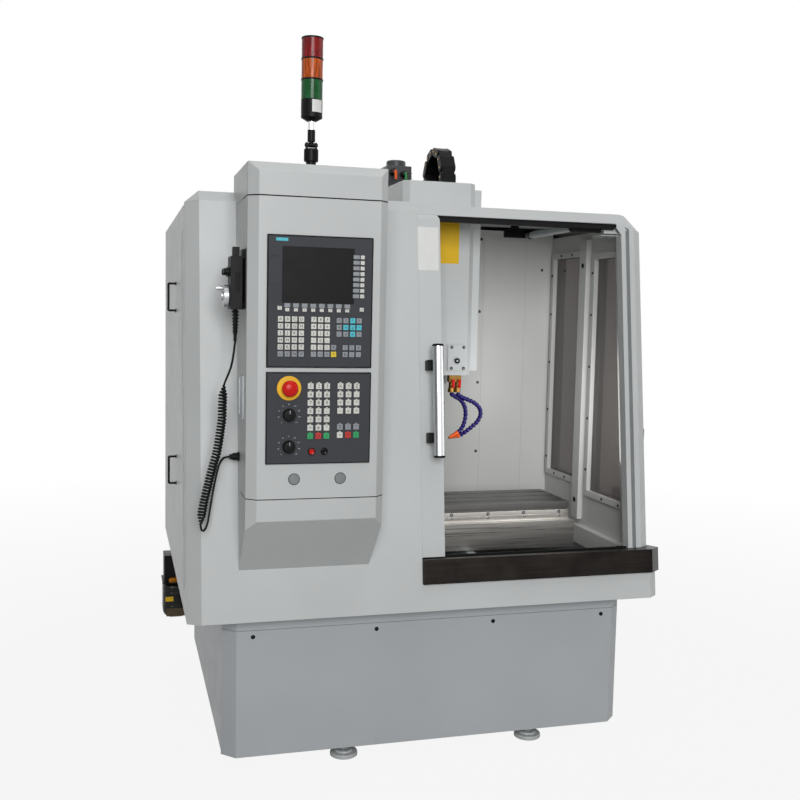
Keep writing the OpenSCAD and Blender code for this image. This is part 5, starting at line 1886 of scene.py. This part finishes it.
@dataclass
class SignalLight:
    """The signal light on its folding foot."""

    x: float = -451.0
    y: float = -650.0
    lens_low: float = 2077.0
    lens_step: float = 60.0
    lens_high: float = 55.0

    def build(self) -> None:
        """Builds the foot, the mast and the three lenses."""
        self.bracket()
        self.stem()
        for k, (node, finish) in enumerate((("lens_green", LENS_GREEN), ("lens_amber", LENS_AMBER),
                                            ("lens_red", LENS_RED))):
            self.lens(node, finish, self.lens_low + k * self.lens_step)
        self.field()

    def at(self, z: float) -> Matrix:
        """Gives the transform to the mast's axis at a height."""
        return Matrix.Translation(spot(self.x, self.y, z))

    def bracket(self) -> None:
        """Builds the foot plate with its screws, the knurled hub and the two ears."""
        bm = bmesh.new()
        foot = [(0, 0), (26, 0), (26, 4), (24.5, 6), (16, 6), (15, 7.5), (15, 21.5), (20, 22.2),
                (20.8, 24), (20.8, 58), (19.5, 60), (0, 60)]
        spin_into(bm, foot, self.at(1874), 48)
        ridges_into(bm, self.at(1874), 30, (20.3, -1.2, 24.5), (21.5, 1.2, 57))
        for k in range(3):
            around = self.at(1880) @ Matrix.Rotation(math.tau * (k + 0.3) / 3, 4, "Z")
            screw_into(bm, around @ Matrix.Translation(Vector((20.5, 0, -0.3)) * MM), 3.4, 2.4)
        for side in (-14.0, 14.0):
            ear = bmesh.new()
            cube_into(ear, spot(self.x + side - 2.5, self.y - 8, 1933),
                      spot(self.x + side + 2.5, self.y + 8, 1953))
            top = [e for e in ear.edges if all(v.co.z > (1950 + LIFT) * MM for v in e.verts)
                   and abs(e.verts[0].co.y - e.verts[1].co.y) < NEW_MERGE]
            round_edges(ear, top, 6.0, 6)
            join_into(bm, ear)
        keep_piece(bm, "folding_foot", "frame", BLACK, ["light_bracket"])

    def stem(self) -> None:
        """Builds the pivot, the mast's black sleeve and silver tube, the base and the rings."""
        bm = bmesh.new()
        pin = [(0, -19.5), (4.6, -19.5), (5, -19), (5, -10), (7, -9.5), (7, 9.5), (5, 10), (5, 19),
               (4.6, 19.5), (0, 19.5)]
        tube = [(0, 0), (11, 0), (11, 27), (0, 27)]
        spin_into(bm, tube, self.at(1988), 40)
        keep_piece(bm, "mast_tube", "light", BRIGHT_TUBE)
        bm = bmesh.new()
        spin_into(bm, pin, facing(spot(self.x, self.y, 1945), (1, 0, 0)), 24)
        rod_into(bm, spot(self.x, self.y, 1945), spot(self.x, self.y, 1956), 6 * MM, 24)
        sleeve = [(0, 0), (10.5, 0), (11.5, 1.5), (11.5, 34.5), (10.5, 36), (0, 36)]
        spin_into(bm, sleeve, self.at(1954), 40)
        base = [(0, 0), (15, 0), (15.5, 1), (31, 9.5), (32, 11), (32, 20), (31.4, 20.8), (31.4, 22.2),
                (32, 23), (32, 62.2), (31.2, 63), (0, 63)]
        spin_into(bm, base, self.at(2014), 56)
        ring = [(0, 0), (32.2, 0), (33, 0.6), (33, 4.4), (32.2, 5), (0, 5)]
        for k in range(3):
            spin_into(bm, ring, self.at(self.lens_low + k * self.lens_step + self.lens_high), 56)
        keep_piece(bm, "mast_sleeve_base_and_rings", "light", BLACK, ["light_stem"])

    def lens(self, node: str, finish: Finish, low: float) -> None:
        """Builds a lens with the fine steps of its moulding.

        Args:
            node: The CAD node that it stands for.
            finish: Its coloured plastic.
            low: The height of its lower edge.
        """
        bm = bmesh.new()
        outline = [(0, 0), (31.6, 0)]
        for k in range(18):
            z = 1 + k * 2.95
            outline += [(32, z), (32, z + 2.1), (31.5, z + 2.5)]
        outline += [(31.6, self.lens_high), (0, self.lens_high)]
        spin_into(bm, outline, self.at(low), 48)
        keep_piece(bm, f"{node}_stepped", "light", finish, [node], 25.0)

    def field(self) -> None:
        """Lays the plain white field round the front of the black base."""
        bm = bmesh.new()
        verts = [bm.verts.new(Vector((32.1, 0, z)) * MM) for z in (0, 36)]
        edge = bm.edges.new(verts)
        bmesh.ops.spin(bm, geom=verts + [edge], cent=(0, 0, 0), axis=(0, 0, 1), angle=math.radians(62),
                       steps=16, use_merge=False, use_duplicate=False)
        bmesh.ops.scale(bm, vec=(1.012, 1.012, 1.0), verts=extruded(bm, bm.faces[:]))
        bmesh.ops.recalc_face_normals(bm, faces=bm.faces)
        turn = Matrix.Rotation(math.radians(-98), 4, "Z")
        bmesh.ops.transform(bm, matrix=self.at(2038) @ turn, verts=bm.verts)
        keep_piece(bm, "plain_white_base_field", "light", LABEL_WHITE)


@dataclass
class HandPendant:
    """The handwheel pendant on the console's side."""

    x: float = -652.0
    y: float = -680.0
    wheel_z: float = 1491.0
    crank_z: float = 1513.0
    selector_z: float = 1561.0

    def build(self) -> None:
        """Builds the housing, the relief, the handwheel and the knobs."""
        self.housing()
        self.wheel()
        self.selector("axis_knob", "axis_select", -700.0)
        self.selector("step_knob", "step_select", -660.0)
        self.crank()

    def housing(self) -> None:
        """Rounds the housing, adds its face plate and stacks the ribs of the cord relief."""
        rounded("pendant", BLACK, 1.2)
        block_piece("pendant_face_plate", "frame", FOIL,
                    [((self.x - 42.5, -716, 1458), (self.x - 41.8, -644, 1600))], 0.2)
        block_piece("pendant_side_switches", "frame", BLACK_SOFT,
                    [((self.x - 30, y - 4.3, 1500), (self.x - 14, y + 10.3, 1560)) for y in (-716, -650)],
                    2.0, 3)
        bm = bmesh.new()
        for i in range(7):
            r = 7.5 + i * 0.5
            ring = [(0, 0), (r - 0.8, 0), (r, 1), (r, 4), (r - 0.8, 5), (0, 5)]
            spin_into(bm, ring, Matrix.Translation(spot(self.x - 24, self.y, 1386 + i * 9.4)), 24)
        keep_piece(bm, "cord_relief_ribs", "frame", BLACK_SOFT)

    def wheel(self) -> None:
        """Turns the handwheel with its dished face and knurled rim."""
        place = facing(spot(self.x - 33, self.y, self.wheel_z), (-1, 0, 0))
        bm = bmesh.new()
        outline = [(0, 0), (5.8, 0), (5.8, 11.5), (31.2, 12), (31.8, 13.5), (31.8, 25.5), (30, 27),
                   (27, 27), (25.5, 25.5), (14, 25.2), (12, 27.2), (12, 32.5), (11, 33), (0, 33)]
        spin_into(bm, outline, place, 60)
        ridges_into(bm, place, 50, (31.2, -1, 13.5), (32.9, 1, 25.2))
        rod_into(bm, spot(self.x - 58, self.y, self.crank_z), spot(self.x - 76, self.y, self.crank_z),
                 2 * MM, 20)
        keep_piece(bm, "knurled_handwheel", "wheel", WHEEL, ["handwheel"])
        bm = bmesh.new()
        for k in range(50):
            long = 4.0 if k % 5 == 0 else 2.2
            around = place @ Matrix.Rotation(math.tau * k / 50, 4, "Z")
            ridges_into(bm, around, 1, (25 - long, -0.2, 25.2), (25, 0.2, 25.45))
        keep_piece(bm, "handwheel_scale", "wheel", MARK)

    def selector(self, node: str, body: str, y: float) -> None:
        """Builds a small rotary selector with its pointer and scalloped skirt.

        Args:
            node: The CAD node that it stands for.
            body: The body that it turns with.
            y: The place of its axis.
        """
        place = facing(spot(self.x - 34, y, self.selector_z), (-1, 0, 0))
        bm = bmesh.new()
        outline = [(0, 0), (3.9, 0), (3.9, 9.8), (13.4, 10), (13.8, 11), (13.8, 14.5), (13.2, 15.2),
                   (9.2, 15.5), (8.8, 26.8), (7.8, 28), (0, 28)]
        spin_into(bm, outline, place, 40)
        ridges_into(bm, place, 12, (8, -0.9, 15.8), (9.6, 0.9, 26.6))
        keep_piece(bm, f"{node}_scalloped", body, BLACK, [node])
        block_piece(f"{node}_pointer", body, MARK_PALE,
                    [((self.x - 62.4, y - 0.7, 1562), (self.x - 61.8, y + 0.7, 1569))])

    def crank(self) -> None:
        """Turns the small grip that spins on the handwheel's pin."""
        bm = bmesh.new()
        outline = [(2.1, 0), (5.2, 0), (6, 1.2), (5.6, 8), (6, 16.5), (5, 20.5), (3, 21.4), (0, 21.5),
                   (0, 18), (2.1, 17.5), (2.1, 0)]
        spin_into(bm, outline, facing(spot(self.x - 60.5, self.y, self.crank_z), (-1, 0, 0)), 32)
        keep_piece(bm, "crank_grip", "crank", WHEEL, ["crank_knob"])


@dataclass
class Oiler:
    """The automatic oiler at the left rear."""

    cap_place: Point = (-786.0, 580.0, 304.0)
    bottle_low: Point = (-828.0, 562.0, 150.0)
    bottle_high: Point = (-718.0, 702.0, 300.0)
    upright_round: float = 38.0
    lower_round: float = 34.0
    upper_round: float = 20.0
    waists: Pair = (206.0, 262.0)

    def build(self) -> None:
        """Builds the pump box, the filler cap and the bottle."""
        rounded("oiler", BLACK, 2.0)
        bm = bmesh.new()
        cap = [(0, 0), (16, 0), (16.8, 1), (16.8, 13), (15, 15), (0, 15)]
        place = Matrix.Translation(spot(*self.cap_place))
        spin_into(bm, cap, place, 40)
        ridges_into(bm, place, 28, (16, -0.7, 1.5), (17.5, 0.7, 12.5))
        keep_piece(bm, "amber_filler_cap", "frame", CAP_AMBER)
        self.bottle()

    def bottle(self) -> None:
        """Builds the dark bottle with its moulded waists, a plain field and the oil below."""
        low, high = spot(*self.bottle_low), spot(*self.bottle_high)
        near = 0.5 * MM
        bm = bmesh.new()
        cube_into(bm, low, high)
        upright = [e for e in bm.edges if abs(e.verts[0].co.z - e.verts[1].co.z) > near]
        round_edges(bm, upright, self.upright_round, 6)
        foot = [e for e in bm.edges if all(v.co.z < low.z + near for v in e.verts)]
        round_edges(bm, foot, self.lower_round, 6)
        crown = [e for e in bm.edges if all(v.co.z > high.z - near for v in e.verts)]
        round_edges(bm, crown, self.upper_round, 6)
        for z in self.waists:
            centre = spot(-773, 632, z)
            ring = bmesh.ops.bisect_plane(bm, geom=bm.verts[:] + bm.edges[:] + bm.faces[:],
                                          plane_co=spot(0, 0, z), plane_no=(0, 0, 1))
            waist = round_edges(bm, [e for e in ring["geom_cut"] if isinstance(e, BMEdge)],
                                3.0, 2)
            middle = [v for v in waist if abs(v.co.z - centre.z) < 1.0 * MM]
            bmesh.ops.scale(bm, vec=(0.97, 0.976, 1.0), verts=middle, space=Matrix.Translation(-centre))
        keep_piece(bm, "oil_bottle", "frame", BOTTLE, ["oiler_tank"])
        block_piece("plain_yellow_bottle_field", "frame", LABEL_YELLOW,
                    [((-818, 560.6, 226), (-786, 562.6, 246))], 0.3)
        block_piece("oil_level_window", "frame", TANK,
                    [((-814, 561.2, 162), (-732, 562.8, 196))], 0.4)


def main() -> None:
    """Builds the camera, the studio and every sub-assembly in order."""
    logging.basicConfig(level=logging.INFO, format="%(name)s: %(message)s")
    bpy.context.scene.view_settings.view_transform = "Standard"
    builders: tuple[Any, ...] = (
        PhotoCamera(), PendantCord(), Studio(), Cabin(), SlidingDoor(), Chamber(), SpindleHead(),
        ControlConsole(), SignalLight(), HandPendant(), Oiler(),
    )
    for builder in builders:
        builder.build()
        log.info("%s is built", type(builder).__name__)


if __name__ == "__main__":
    main()
